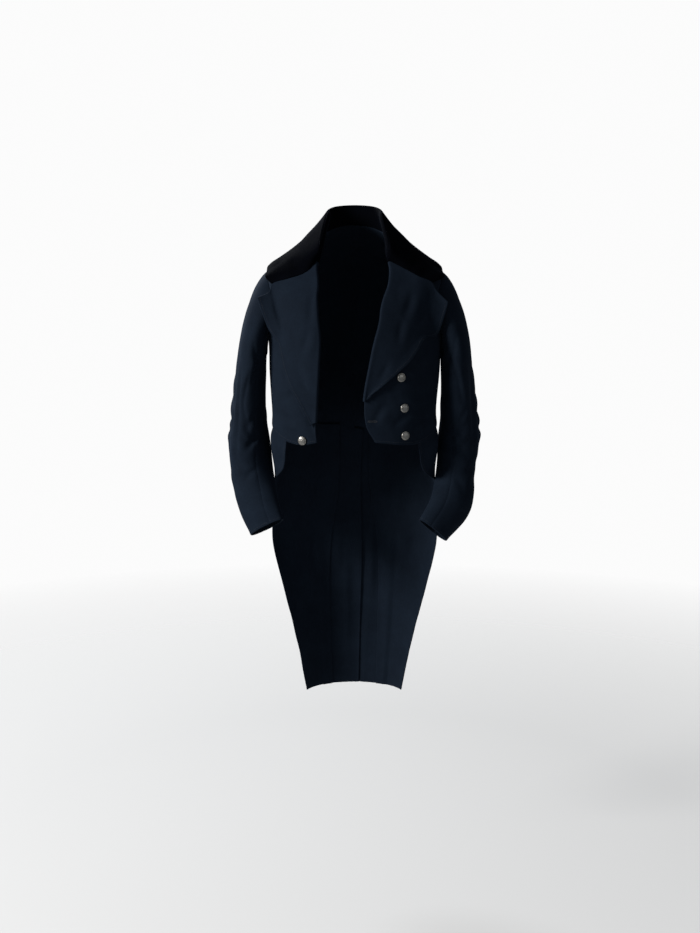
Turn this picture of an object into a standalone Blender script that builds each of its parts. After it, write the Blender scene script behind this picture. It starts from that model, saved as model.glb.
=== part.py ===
"""A double-breasted tailcoat of about 1840, worn open, as a hollow shell of real cut pieces.

Units are metres. +X is the wearer's left, -Y the front and +Z up. The origin is the middle of
the neck, level with the point where the shoulder seam meets the neckline.
"""

import math
from collections import namedtuple

import bpy
import numpy as np

MM = 0.001

# Cloth and making up
CLOTH = 2.2 * MM
SEAM_GAP = 0.3 * MM
ROLL_RADIUS = 2.2 * MM
LAPEL_LIFT = 5.0 * MM
LIFT_OVER_COAT = 4.4 * MM
LAP_AT_WAIST = 9.0 * MM
FLAT_FRONT = 168.0 * MM
VENT_LAP = 20.0 * MM
VENT_LIFT = 3.4 * MM
PLEAT_DEPTH = 24.0 * MM
PLEAT_INSET = 3.2 * MM
BACK_RADIUS = 150.0 * MM
LEVEL_HEIGHT = 62.0 * MM
WAIST_INSET = 3.7 * MM
BUTTON_RADIUS = 9.25 * MM
BUTTON_DOME = 3.4 * MM
BUTTON_STANDS_OFF = 1.6 * MM
BUTTON_SEAT_BEHIND = 0.8 * MM

# How finely each piece is divided
ARMHOLE_STEPS = 24
FRONT_COLUMNS = 10
FRONT_ROWS_BELOW_ARM = 8
SIDE_COLUMNS = 8
BACK_COLUMNS = 6
SKIRT_COLUMNS = 11
SKIRT_ROWS = 18
LAPEL_COLUMNS = 8
COLLAR_STEPS = 30
ROLL_STEPS = 4
SLEEVE_COLUMNS = 12
SLEEVE_HEAD_ROWS = 7
SLEEVE_ARM_ROWS = 13

# One row for each level of the coat's outer face, from the neckline to the tail hem
Loop = namedtuple(
    "Loop", "half_width front_y side_y back_y front_z side_z back_z squareness"
)
LOOPS = [
    Loop(68, -52, 5, 68, -75, -2, 18, 2.00),
    Loop(128, -84, 12, 97, -104, -42, -20, 2.20),
    Loop(184, -102, 18, 117, -136, -80, -66, 2.45),
    Loop(188, -112, 14, 127, -172, -146, -132, 2.60),
    Loop(185, -117, 8, 127, -226, -215, -212, 2.55),
    Loop(182, -120, 4, 116, -300, -295, -298, 2.50),
    Loop(176, -118, 0, 101, -380, -375, -378, 2.45),
    Loop(179, -115, 0, 104, -445, -440, -436, 2.40),
    Loop(175, -106, 24, 118, -515, -512, -508, 2.20),
    Loop(181, -98, 42, 134, -595, -592, -590, 2.15),
    Loop(184, -96, 40, 145, -680, -678, -676, 2.25),
    Loop(166, -80, 30, 151, -770, -768, -766, 2.35),
    Loop(147, -50, 42, 153, -860, -858, -856, 2.30),
    Loop(130, -20, 52, 152, -950, -948, -946, 2.25),
    Loop(115, 10, 60, 150, -1038, -1036, -1034, 2.20),
]

# The armhole in degrees round the body and in levels of the table above
ARMHOLE_ANGLE = 92.0
ARMHOLE_HALF_ANGLE = 30.0
ARMHOLE_LEVEL = 3.0
SHOULDER_SEAM = -15.0
SIDE_SEAM = 150.0
BACK_SEAM = 210.0
NECK_SEAM_ANGLE = 97.0

# Front edge of each front panel, from the gorge to the hem, as seen from the front
EdgePoint = namedtuple("EdgePoint", "x z")
FRONT_EDGE = {
    "right": [
        EdgePoint(69, -30),
        EdgePoint(75, -64),
        EdgePoint(74, -120),
        EdgePoint(71, -200),
        EdgePoint(72, -283),
        EdgePoint(75, -345),
        EdgePoint(82, -400),
        EdgePoint(79, -435),
    ],
    "left": [
        EdgePoint(69, -30),
        EdgePoint(69, -64),
        EdgePoint(61, -130),
        EdgePoint(46, -200),
        EdgePoint(30, -268),
        EdgePoint(17, -345),
        EdgePoint(25, -400),
        EdgePoint(43, -434),
    ],
}
EDGE_STATIONS = [0.0, 1.2, 3.0, 5.5, 8.5, 11.5, 14.4, 17.3, 19.0]
BREAK_ROW = {"right": 16.8, "left": 14.5}
FRONT_HEM = [
    EdgePoint(110, -441),
    EdgePoint(139, -437),
    EdgePoint(158, -428),
    EdgePoint(170, -418),
]

# Outer edge of each lapel, from the peak to the break; ahead is the distance in front of the coat
LapelPoint = namedtuple("LapelPoint", "x z ahead")
LAPEL_EDGE = {
    "right": [
        LapelPoint(202, -136, 14),
        LapelPoint(193, -164, 15),
        LapelPoint(180, -200, 13),
        LapelPoint(162, -229, 9),
        LapelPoint(154, -261, 8),
        LapelPoint(147, -288, 8),
        LapelPoint(134, -323, 8),
        LapelPoint(121, -345, 7),
        LapelPoint(106, -375, 7),
        LapelPoint(94, -400, 7),
    ],
    "left": [
        LapelPoint(194, -145, 15),
        LapelPoint(185, -178, 14),
        LapelPoint(172, -212, 11),
        LapelPoint(146, -219, 8),
        LapelPoint(131, -242, 8),
        LapelPoint(117, -262, 7),
        LapelPoint(101, -278, 7),
        LapelPoint(78, -298, 7),
        LapelPoint(52, -320, 7),
        LapelPoint(27, -340, 7),
    ],
}
# Top edge of each lapel, from the roll along the gorge seam, round the notch to the peak
LAPEL_TOP = {
    "right": [
        LapelPoint(103, -84, 7),
        LapelPoint(140, -97, 8),
        LapelPoint(171, -106, 9),
        LapelPoint(178, -124, 11),
    ],
    "left": [
        LapelPoint(104, -76, 7),
        LapelPoint(131, -91, 8),
        LapelPoint(160, -103, 9),
        LapelPoint(171, -122, 11),
    ],
}
LAPEL_TOP_STATIONS = [0.0, 0.22, 0.50, 0.74, 0.84, 1.0]

# Half of the collar, from the middle of the back to the gorge. It is sewn on at an angle of the
# neckline or, in front, at a row of the front panel. The fall lies on the coat up to its edge.
CollarRow = namedtuple("CollarRow", "angle front_row fold_x fold_y fold_z mid_lift edge_x edge_y edge_z")
COLLAR = [
    CollarRow(180, 0.0, 0, 77, 58, 10, 0, 112, -34),
    CollarRow(150, 0.0, 38, 64, 55, 10, 76, 104, -40),
    CollarRow(122, 0.0, 56, 37, 47, 10, 142, 72, -57),
    CollarRow(97, 0.0, 59, 3, 36, 10, 178, 22, -71),
    CollarRow(72, 1.0, 66, -32, 5, 8, 185, -24, -84),
    CollarRow(58, 1.9, 73, -60, -30, 7, 186, -48, -94),
]
COLLAR_STAND_INSET = 1.5 * MM

# Sleeves: centre, half sizes across and fore and aft, and how far the ring turns forward
ArmRing = namedtuple("ArmRing", "x y z across deep turn")
ARM_RINGS = {
    "right": [
        ArmRing(219, 2, -262, 31.5, 70, 0),
        ArmRing(226, 8, -325, 34.5, 66, 0),
        ArmRing(231, 16, -392, 38.5, 61, 0),
        ArmRing(230, 21, -452, 43.5, 57, 4),
        ArmRing(223, 10, -520, 45.5, 46, 14),
        ArmRing(207, -26, -580, 46.5, 30, 27),
        ArmRing(189, -46, -627, 45.5, 19, 37),
    ],
    "left": [
        ArmRing(218, 2, -262, 33, 70, 0),
        ArmRing(223, 8, -325, 36.5, 66, 0),
        ArmRing(228, 16, -392, 41, 61, 0),
        ArmRing(228, 21, -448, 44.5, 57, 4),
        ArmRing(221, 10, -512, 41, 47, 14),
        ArmRing(208, -27, -578, 47.5, 31, 25),
        ArmRing(169, -48, -633, 41, 20, 33),
    ],
}
SLEEVE_GAP = 0.45 * MM
SLEEVE_SEAM_GAP = 0.5 * MM
HEAD_SHARE = 0.34
HIND_SEAM = -60.0
FORE_SEAM = 120.0
SLEEVE_LENGTH = 560.0
# Slope of the sleeve where it leaves the armhole: on top, more outside and most under the arm
HEAD_SLOPE = 8.0
HEAD_SLOPE_OUTSIDE = 22.0
HEAD_SLOPE_UNDER = 62.0
HEAD_LEAN = 0.3
HEAD_FULLNESS_AT_TOP = 0.19
HEAD_FULLNESS_BELOW = 0.40

# Front edge of each tail below the waist, as a height and an angle round the coat
TailPoint = namedtuple("TailPoint", "level angle")
TAIL_EDGE = {
    "right": [
        TailPoint(6.82, 51),
        TailPoint(8.0, 60),
        TailPoint(9.0, 94),
        TailPoint(10.0, 98),
        TailPoint(11.0, 100),
        TailPoint(12.0, 103),
        TailPoint(13.0, 107),
        TailPoint(14.0, 110),
    ],
    "left": [
        TailPoint(6.82, 44),
        TailPoint(8.0, 56),
        TailPoint(9.0, 94),
        TailPoint(10.0, 98),
        TailPoint(11.0, 100),
        TailPoint(12.0, 103),
        TailPoint(13.0, 107),
        TailPoint(14.0, 110),
    ],
}
# Where the side-back seam and the pleat below it run on the back
SeamPoint = namedtuple("SeamPoint", "level angle")
SIDE_BACK = [
    SeamPoint(4.45, 127),
    SeamPoint(5.0, 141),
    SeamPoint(5.6, 153),
    SeamPoint(6.2, 160.5),
    SeamPoint(6.86, 163.5),
]
WAIST_BEHIND = [
    SeamPoint(6.36, 90),
    SeamPoint(6.60, 120),
    SeamPoint(6.86, 163.5),
    SeamPoint(6.86, 190),
]
PLEAT_LINE = [
    SeamPoint(6.86, 163.5),
    SeamPoint(9.0, 160.0),
    SeamPoint(11.5, 153.0),
    SeamPoint(14.0, 146.0),
]

# Soft folds: where each starts and ends, its half width and how deep it is pressed in
FOLD_END_DEPTH = 0.35
Fold = namedtuple("Fold", "x1 z1 x2 z2 half_width depth")
FRONT_FOLDS = [
    Fold(-150, -250, -128, -330, 13, 2.4),
    Fold(-176, -330, -140, -425, 15, -2.6),
    Fold(152, -255, 132, -345, 13, 2.2),
    Fold(172, -345, 118, -415, 15, -2.4),
]
BACK_FOLDS = [
    Fold(-150, -200, -70, -300, 17, 2.6),
    Fold(148, -215, 64, -310, 17, 2.6),
    Fold(-120, -560, -112, -930, 20, 4.0),
    Fold(122, -600, 104, -960, 20, 4.0),
    Fold(-66, -640, -58, -1000, 18, -3.2),
    Fold(64, -590, 60, -900, 18, -3.2),
]
# On a sleeve a fold runs in degrees round the arm and in shares of its length
SleeveFold = namedtuple("SleeveFold", "turn1 along1 turn2 along2 half_width depth")
SLEEVE_FOLDS = {
    "right": [
        SleeveFold(36, 0.34, 44, 0.66, 9, 3.2),
        SleeveFold(95, 0.26, 140, 0.42, 10, 3.4),
        SleeveFold(60, 0.52, 118, 0.64, 11, 3.4),
        SleeveFold(86, 0.70, 132, 0.60, 10, 3.0),
        SleeveFold(-80, 0.58, -150, 0.66, 12, 3.6),
        SleeveFold(-70, 0.74, -140, 0.68, 11, 2.8),
    ],
    "left": [
        SleeveFold(40, 0.36, 40, 0.62, 9, 3.0),
        SleeveFold(90, 0.24, 142, 0.38, 10, 3.2),
        SleeveFold(70, 0.56, 128, 0.65, 11, 3.2),
        SleeveFold(72, 0.74, 120, 0.66, 10, 3.0),
        SleeveFold(-76, 0.55, -140, 0.64, 12, 3.6),
        SleeveFold(-90, 0.72, -150, 0.67, 11, 2.8),
    ],
}

# Buttons: place on the coat, as seen from the front or the back
ButtonPlace = namedtuple("ButtonPlace", "name side x z behind")
BUTTONS = [
    ButtonPlace("button_front_left_1", 1, 96, -299, False),
    ButtonPlace("button_front_left_2", 1, 103, -363, False),
    ButtonPlace("button_front_left_3", 1, 105, -421, False),
    ButtonPlace("button_front_right", -1, 109, -432, False),
    ButtonPlace("button_back_left", 1, 42, -418, True),
    ButtonPlace("button_back_right", -1, 42, -418, True),
]

# Colours, roughness and metal of the three materials
Finish = namedtuple("Finish", "colour roughness metallic")
WOOL = Finish((0.012, 0.016, 0.026, 1.0), 0.9, 0.0)
VELVET = Finish((0.004, 0.005, 0.009, 1.0), 0.95, 0.0)
METAL = Finish((0.62, 0.59, 0.54, 1.0), 0.35, 1.0)

SIDES = {"left": 1, "right": -1}


def table(rows):
    """The rows of a table as an array."""
    return np.array([tuple(row) for row in rows], float)


def along(rows, at):
    """Smooth values between the rows of a table; at counts rows from 0."""
    rows = np.asarray(rows, float)
    last = len(rows) - 1
    padded = np.vstack([2 * rows[0] - rows[1], rows, 2 * rows[-1] - rows[-2]])
    at = np.clip(np.asarray(at, float), 0, last)
    low = np.minimum(at.astype(int), last - 1)
    t = (at - low)[..., None]
    a, b, c, d = (padded[low + k] for k in range(4))
    return b + 0.5 * t * (c - a + t * (2 * a - 5 * b + 4 * c - d + t * (3 * (b - c) + d - a)))


def unit(vectors):
    """The vectors at length 1."""
    return vectors / np.maximum(np.linalg.norm(vectors, axis=-1, keepdims=True), 1e-12)


LOOP_ROWS = table(LOOPS) * np.array([MM] * 7 + [1.0])
# How sharply a level's height turns from the sides to the front and the back
HEIGHT_POWER = 1.6


def coat(domain):
    """Points of the coat's outer face at (angle in degrees, level); the wearer's left is positive."""
    angle = np.radians(domain[..., 0])
    loop = along(LOOP_ROWS, domain[..., 1])
    sine = np.sin(angle)
    cosine = np.cos(angle)
    power = 2 / loop[..., 7]
    reach = np.abs(cosine) ** power
    facing = cosine > 0
    x = loop[..., 0] * np.sign(sine) * np.abs(sine) ** power
    y = loop[..., 2] + (np.where(facing, loop[..., 1], loop[..., 3]) - loop[..., 2]) * reach
    rise = np.where(facing, loop[..., 4], loop[..., 6]) - loop[..., 5]
    z = loop[..., 5] + rise * reach**HEIGHT_POWER
    return np.stack([x, y, z], -1)


def coat_normal(domain):
    """Outward direction of the coat's outer face."""
    turn = np.array([0.5, 0.0])
    drop = np.array([0.0, 0.02])
    across = coat(domain + turn) - coat(domain - turn)
    down = coat(domain + drop) - coat(domain - drop)
    return unit(np.cross(down, across))


def place(x, z, behind=False):
    """The (angle, level) of the point of the coat seen at x and z from the front or from behind."""
    x = np.atleast_1d(np.asarray(x, float))
    z = np.atleast_1d(np.asarray(z, float))
    low = np.zeros_like(x)
    high = np.full_like(x, len(LOOPS) - 1)
    for _ in range(40):
        level = (low + high) / 2
        loop = along(LOOP_ROWS, level)
        sine = np.minimum(np.abs(x) / loop[..., 0], 1) ** (loop[..., 7] / 2)
        angle = np.degrees(np.arcsin(sine))
        angle = np.where(x < 0, -1, 1) * np.where(behind, 180 - angle, angle)
        higher = coat(np.stack([angle, level], -1))[..., 2] > z
        low = np.where(higher, level, low)
        high = np.where(higher, high, level)
    return np.stack([angle, level], -1)


def fold_depth(points, folds):
    """How far the folds press the cloth in, at points given by two coordinates."""
    depth = np.zeros(points.shape[:-1])
    for fold in folds:
        start = np.array([fold.x1, fold.z1]) * MM
        run = np.array([fold.x2, fold.z2]) * MM - start
        share = np.clip(((points - start) @ run) / (run @ run), 0, 1)
        off = np.linalg.norm(points - start - share[..., None] * run, axis=-1)
        taper = FOLD_END_DEPTH + (1 - FOLD_END_DEPTH) * np.sin(math.pi * share)
        depth += fold.depth * MM * taper * np.exp(-((off / (fold.half_width * MM)) ** 2))
    return depth


def cloth(domain, lift=0.0):
    """Points of the coat with its folds, moved out by lift."""
    points = coat(domain)
    normal = coat_normal(domain)
    seen = points[..., [0, 2]]
    facing = np.cos(np.radians(domain[..., 0])) > 0
    depth = np.where(facing, fold_depth(seen, FRONT_FOLDS), fold_depth(seen, BACK_FOLDS))
    return points + normal * (lift - depth)[..., None]


def nearest(points, guess):
    """The (angle, level) of the coat's point nearest to each point, from a first guess."""
    domain = np.array(guess, float)
    for _ in range(8):
        base = coat(domain)
        turn = (coat(domain + [0.2, 0]) - base) / 0.2
        drop = (coat(domain + [0, 0.01]) - base) / 0.01
        off = points - base
        aa = (turn * turn).sum(-1)
        bb = (drop * drop).sum(-1)
        ab = (turn * drop).sum(-1)
        whole = np.maximum(aa * bb - ab * ab, 1e-16)
        a = (off * turn).sum(-1)
        b = (off * drop).sum(-1)
        domain[..., 0] += np.clip((a * bb - b * ab) / whole, -8, 8)
        domain[..., 1] += np.clip((b * aa - a * ab) / whole, -0.3, 0.3)
        domain[..., 1] = np.clip(domain[..., 1], 0.02, len(LOOPS) - 1.02)
    return domain


def foot(points):
    """The (angle, level) of the coat under each point."""
    behind = points[..., 1].ravel() > 0.01
    guess = place(points[..., 0].ravel(), points[..., 2].ravel(), behind)
    return nearest(points, guess.reshape(points.shape[:-1] + (2,)))


def laid(points, lift):
    """Points brought to a height of lift over the coat."""
    domain = foot(points)
    return coat(domain) + coat_normal(domain) * lift


def kept_clear(points, lift):
    """Points moved out where they lie less than lift in front of the coat's outer face."""
    domain = foot(points)
    normal = coat_normal(domain)
    height = ((points - coat(domain)) * normal).sum(-1)
    return points + normal * np.maximum(lift - height, 0)[..., None]


def armhole(phi):
    """The (angle, level) of the armhole's edge; phi is 0 on top and 90 in front."""
    phi = np.radians(phi)
    angle = ARMHOLE_ANGLE - ARMHOLE_HALF_ANGLE * np.sin(phi)
    return np.stack([angle, ARMHOLE_LEVEL - np.cos(phi)], -1)


def waist_level(angle):
    """Level of the waist seam at an angle round the coat."""
    rows = place([p.x * MM for p in FRONT_HEM], [p.z * MM for p in FRONT_HEM])
    rows = np.vstack([rows, [(p.angle, p.level) for p in WAIST_BEHIND]])
    return np.interp(angle, rows[:, 0], rows[:, 1])


def ease(share):
    """0 below 0 and 1 above 1, with a soft start and end."""
    share = np.clip(share, 0, 1)
    return share * share * (3 - 2 * share)


def through(stations, rows, at):
    """Smooth values through rows that stand at the given stations."""
    return along(rows, np.interp(at, stations, np.arange(len(stations))))


def coat_point(point, side):
    """A table's point as (x, y, z), its distance ahead measured from the coat's front face."""
    domain = place(side * min(point.x * MM, FLAT_FRONT), point.z * MM)
    y = coat(domain)[0, 1] - point.ahead * MM
    return np.array([side * point.x * MM, y, point.z * MM])


ARM_ROWS = round((SIDE_SEAM - SHOULDER_SEAM) * ARMHOLE_STEPS / 360)
FRONT_ROWS = ARM_ROWS + FRONT_ROWS_BELOW_ARM
GORGE_ROW = 3.0
SIDE_SEAM_FOOT = 73.0
WAIST = SIDE_BACK[-1].level
ROLL_OUT = ROLL_RADIUS + CLOTH


def side_seam(down, side):
    """Seam between the front and the side body; down is 0 at the armhole and 1 at the waist."""
    top = armhole(SIDE_SEAM)
    angle = top[0] + (SIDE_SEAM_FOOT - top[0]) * down
    level = top[1] + (waist_level(SIDE_SEAM_FOOT) - top[1]) * down
    return np.stack([side * angle, level], -1)


def front_edge(side_name, row):
    """Where the front panel ends towards the middle, at a row of the panel."""
    side = SIDES[side_name]
    row = np.asarray(row, float)
    points = table(FRONT_EDGE[side_name]) * MM
    points[1:-2, 0] += ROLL_OUT
    rest = place(side * points[:, 0], points[:, 1])
    rows = np.vstack([[side * NECK_SEAM_ANGLE, 0.0], rest])
    return through(EDGE_STATIONS, rows, row)


def front_side(side, row):
    """Where the front panel ends towards the arm: the armhole, then the side seam."""
    row = np.asarray(row, float)
    on_arm = armhole(SHOULDER_SEAM + row * 360 / ARMHOLE_STEPS) * np.array([side, 1])
    down = np.clip((row - ARM_ROWS) / FRONT_ROWS_BELOW_ARM, 0, 1)
    return np.where((row <= ARM_ROWS)[..., None], on_arm, side_seam(down, side))


def front_hem(side_name, across):
    """Hem of the front panel, from the front edge to the side seam."""
    side = SIDES[side_name]
    start = front_edge(side_name, FRONT_ROWS)
    rest = place([side * p.x * MM for p in FRONT_HEM], [p.z * MM for p in FRONT_HEM])
    rows = np.vstack([start, rest, side_seam(np.array(1.0), side)])
    stations = (rows[:, 0] - rows[0, 0]) / (rows[-1, 0] - rows[0, 0])
    return through(stations, rows, across)


def front_panel(side_name):
    """Surface of a front panel as a function of across and row."""
    side = SIDES[side_name]

    def surface(across, row):
        inner = front_edge(side_name, row)
        outer = front_side(side, row)
        domain = inner + (outer - inner) * across[..., None]
        foot = front_edge(side_name, FRONT_ROWS)
        toe = front_side(side, np.array(float(FRONT_ROWS)))
        straight = foot + (toe - foot) * across[..., None]
        share = np.clip((row - ARM_ROWS) / FRONT_ROWS_BELOW_ARM, 0, 1)
        domain = domain + (front_hem(side_name, across) - straight) * share[..., None]
        return cloth(domain)

    return surface


def side_back_seam(down, side):
    """Seam between the side body and the back; down is 0 at the armhole and 1 at the waist."""
    rows = np.vstack([armhole(BACK_SEAM), [(p.angle, p.level) for p in SIDE_BACK]])
    return along(rows, np.asarray(down) * (len(rows) - 1)) * np.array([side, 1])


def side_panel(side_name):
    """Surface of a side body as a function of across and row."""
    side = SIDES[side_name]

    def surface(across, row):
        down = row / FRONT_ROWS_BELOW_ARM
        front = side_seam(down, side)
        back = side_back_seam(down, side)
        domain = front + (back - front) * across[..., None]
        top = armhole(SIDE_SEAM + across * (BACK_SEAM - SIDE_SEAM)) * np.array([side, 1])
        corner = armhole(SIDE_SEAM) * np.array([side, 1])
        far = armhole(BACK_SEAM) * np.array([side, 1])
        domain = domain + (top - corner - (far - corner) * across[..., None]) * (1 - down)[..., None]
        foot_angle = SIDE_SEAM_FOOT + (SIDE_BACK[-1].angle - SIDE_SEAM_FOOT) * across
        straight = side_seam(np.array(1.0), side)[1] * (1 - across) + WAIST * across
        domain[..., 1] += (waist_level(foot_angle) - straight) * down**2
        return cloth(domain)

    return surface


BACK_ARM_ROWS = round((360 + SHOULDER_SEAM - BACK_SEAM) * ARMHOLE_STEPS / 360)
BACK_WAIST_ROW = BACK_ARM_ROWS + FRONT_ROWS_BELOW_ARM
STRIP_ROWS = 15
BACK_ROWS = BACK_WAIST_ROW + STRIP_ROWS
NAPE_ROW = 4.0
HEM = float(len(LOOPS) - 1)
VENT_LAP_ANGLE = math.degrees(VENT_LAP / BACK_RADIUS)
VENT_LIFT_START = 169.0
VENT_LIFT_RAMP = 9.0
VENT_LIFT_LEVELS = 0.4
VENT_START = 0.1
VENT_RAMP = 0.35


def back_middle(side_name, row):
    """Neckline and then the middle of the back, at a row of the back panel."""
    rows = [(NECK_SEAM_ANGLE, 0), (180, 0), (180, 3.0), (180, WAIST), (180, HEM)]
    stations = [0, NAPE_ROW, BACK_ARM_ROWS, BACK_WAIST_ROW, BACK_ROWS]
    angle, level = (np.interp(row, stations, column) for column in zip(*rows))
    if side_name == "left":
        angle = angle + VENT_LAP_ANGLE * ease((level - WAIST - VENT_START) / VENT_RAMP)
    return np.stack([SIDES[side_name] * angle, level], -1)


def back_side(side, row):
    """Armhole, side-back seam and then the pleat line, at a row of the back panel."""
    row = np.asarray(row, float)
    on_arm = armhole(360 + SHOULDER_SEAM - row * 360 / ARMHOLE_STEPS) * np.array([side, 1])
    down = np.clip((row - BACK_ARM_ROWS) / FRONT_ROWS_BELOW_ARM, 0, 1)
    on_seam = side_back_seam(down, side)
    level = WAIST + (HEM - WAIST) * np.clip((row - BACK_WAIST_ROW) / STRIP_ROWS, 0, 1)
    on_pleat = np.stack([side * pleat_angle(level), level], -1)
    lower = np.where((row <= BACK_WAIST_ROW)[..., None], on_seam, on_pleat)
    return np.where((row <= BACK_ARM_ROWS)[..., None], on_arm, lower)


def pleat_angle(level):
    """Angle of the pleat line at a level."""
    return np.interp(level, [p.level for p in PLEAT_LINE], [p.angle for p in PLEAT_LINE])


def back_panel(side_name):
    """Surface of a back with the narrow skirt that is cut in one with it."""
    side = SIDES[side_name]

    def surface(across, row):
        inner = back_middle(side_name, row)
        outer = back_side(side, row)
        domain = inner + (outer - inner) * across[..., None]
        lift = np.zeros(domain.shape[:-1])
        if side_name == "left":
            inwards = ease((domain[..., 0] - VENT_LIFT_START) / VENT_LIFT_RAMP)
            lift = VENT_LIFT * inwards * ease(1 + (domain[..., 1] - WAIST) / VENT_LIFT_LEVELS)
        return cloth(domain, lift)

    return surface


# Levels below the waist, and degrees before the pleat, over which a tail lies under its neighbours
INSET_START = 0.05
INSET_RAMP = 0.5
PLEAT_RAMP = 7.0


def skirt_panel(side_name):
    """Surface of a tail from its front edge to the hidden edge of the pleat."""
    side = SIDES[side_name]
    edge = table(TAIL_EDGE[side_name])

    def surface(across, row):
        share = row / SKIRT_ROWS
        level = WAIST + (HEM - WAIST) * share
        start = through(edge[:, 0], edge[:, 1:], level)[..., 0]
        pleat = pleat_angle(level)
        end = pleat + math.degrees(PLEAT_DEPTH / BACK_RADIUS)
        angle = start + (end - start) * across
        seam = waist_level(angle) - LAP_AT_WAIST / LEVEL_HEIGHT
        level = seam + (HEM - seam) * share
        at_waist = 1 - ease((level - waist_level(angle) - INSET_START) / INSET_RAMP)
        at_pleat = ease(1 + (angle - pleat) / PLEAT_RAMP)
        inset = np.maximum(WAIST_INSET * at_waist, PLEAT_INSET * at_pleat)
        return cloth(np.stack([side * angle, level], -1), -inset)

    return surface


def quadratic(start, middle, end, share):
    """Point of the parabola that passes three points at shares 0, a half and 1."""
    t = share[..., None]
    return start * (1 - t) * (1 - 2 * t) + middle * 4 * t * (1 - t) + end * t * (2 * t - 1)


def lapel(side_name):
    """Visible face of a turned-back lapel as a function of column and row of its front panel."""
    side = SIDES[side_name]
    last = BREAK_ROW[side_name]
    edge = np.array([coat_point(p, side) for p in LAPEL_EDGE[side_name]])

    def hinge(row):
        domain = front_edge(side_name, row)
        base = cloth(domain)
        normal = coat_normal(domain)
        ahead = coat(front_edge(side_name, row + 0.02)) - coat(front_edge(side_name, row - 0.02))
        inward = unit(np.cross(normal, ahead)) * -side
        return base, normal, inward

    def fall(share, row):
        base, normal, _ = hinge(row)
        start = base + normal * (2 * ROLL_RADIUS + CLOTH)
        end = along(edge, (row - GORGE_ROW) / (last - GORGE_ROW) * (len(edge) - 1))
        half = (base + end) / 2
        seen = np.clip(half[..., 0], -FLAT_FRONT, FLAT_FRONT)
        under = place(seen.ravel(), half[..., 2].ravel())
        under = under.reshape(half.shape[:-1] + (2,))
        middle = coat(under) + coat_normal(under) * LAPEL_LIFT
        return quadratic(start, middle, end, share)

    def surface(column, row):
        alpha = math.pi * np.clip(column / ROLL_STEPS, 0, 1)[..., None]
        share = np.clip((column - ROLL_STEPS) / LAPEL_COLUMNS, 0, 1)
        base, normal, inward = hinge(row)
        roll = base + inward * ROLL_OUT * np.sin(alpha)
        roll = roll + normal * (ROLL_RADIUS - ROLL_OUT * np.cos(alpha))
        flat = fall(share, row)
        gorge = np.full_like(row, GORGE_ROW)
        top_points = np.array([coat_point(p, side) for p in LAPEL_TOP[side_name]])
        first = fall(np.zeros(1), np.array([GORGE_ROW]))
        top = through(LAPEL_TOP_STATIONS, np.vstack([first, top_points, edge[:1]]), share)
        down = ((row - GORGE_ROW) / (last - GORGE_ROW))[..., None]
        flat = flat + (top - fall(share, gorge)) * (1 - down) ** 3
        flat = kept_clear(flat, LIFT_OVER_COAT)
        return np.where((column <= ROLL_STEPS)[..., None], roll, flat)

    return surface


COLLAR_ROWS = len(COLLAR)
COLLAR_ACROSS = ROLL_STEPS + round(0.75 * LAPEL_COLUMNS)
# Columns of the neckline, the stand, the fold, the start of the fall, its middle and its edge
COLLAR_STATIONS = [0.0, 1.8, 2.9, ROLL_STEPS, COLLAR_ACROSS - 3.2, COLLAR_ACROSS]
COLLAR_ROLL_DROP = np.array([0, 0, 6.2 * MM])


def collar_section(side_name, number, column):
    """Visible face of the collar at one row of its table, from the neckline to the outer edge."""
    side = SIDES[side_name]
    row = COLLAR[number]
    if row.front_row > 0:
        neck = cloth(front_edge(side_name, np.array(row.front_row)))
    else:
        neck = cloth(np.array([side * row.angle, 0.0]))
    fold = np.array([side * row.fold_x, row.fold_y, row.fold_z]) * MM
    edge = np.array([side * row.edge_x, row.edge_y, row.edge_z]) * MM
    if row.front_row == 0:
        edge = laid(edge, LIFT_OVER_COAT)
    outward = unit((fold * np.array([1, 1, 0])))
    neck = neck - outward * (CLOTH + COLLAR_STAND_INSET)
    inside = fold - outward * ROLL_OUT - COLLAR_ROLL_DROP
    outside = fold + outward * ROLL_OUT - COLLAR_ROLL_DROP
    middle = laid((fold + edge) / 2, row.mid_lift * MM)
    points = np.array([neck, inside, fold, outside, middle, edge])
    section = through(COLLAR_STATIONS, points, column)
    lying = (column >= ROLL_STEPS)[..., None]
    return np.where(lying, kept_clear(section, LIFT_OVER_COAT), section)


def collar(column, turn):
    """Visible face of the collar; turn runs from -1 at the right gorge to 1 at the left one."""
    columns = np.unique(column)
    halves = []
    for side_name in ("right", "left"):
        last = lapel(side_name)(columns, np.full_like(columns, GORGE_ROW))
        rows = [collar_section(side_name, number, columns) for number in range(COLLAR_ROWS)]
        halves.append(rows + [last])
    rows = np.array(halves[0][:0:-1] + halves[1])
    at = (turn + 1) / 2 * (len(rows) - 1)
    smooth = along(rows.reshape(len(rows), -1), at).reshape(at.shape + (len(columns), 3))
    picked = np.searchsorted(columns, column)
    points = np.take_along_axis(smooth, picked[..., None, None].repeat(3, -1), -2)[..., 0, :]
    lying = (column >= ROLL_STEPS)[..., None]
    return np.where(lying, kept_clear(points, LIFT_OVER_COAT), points)


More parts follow.
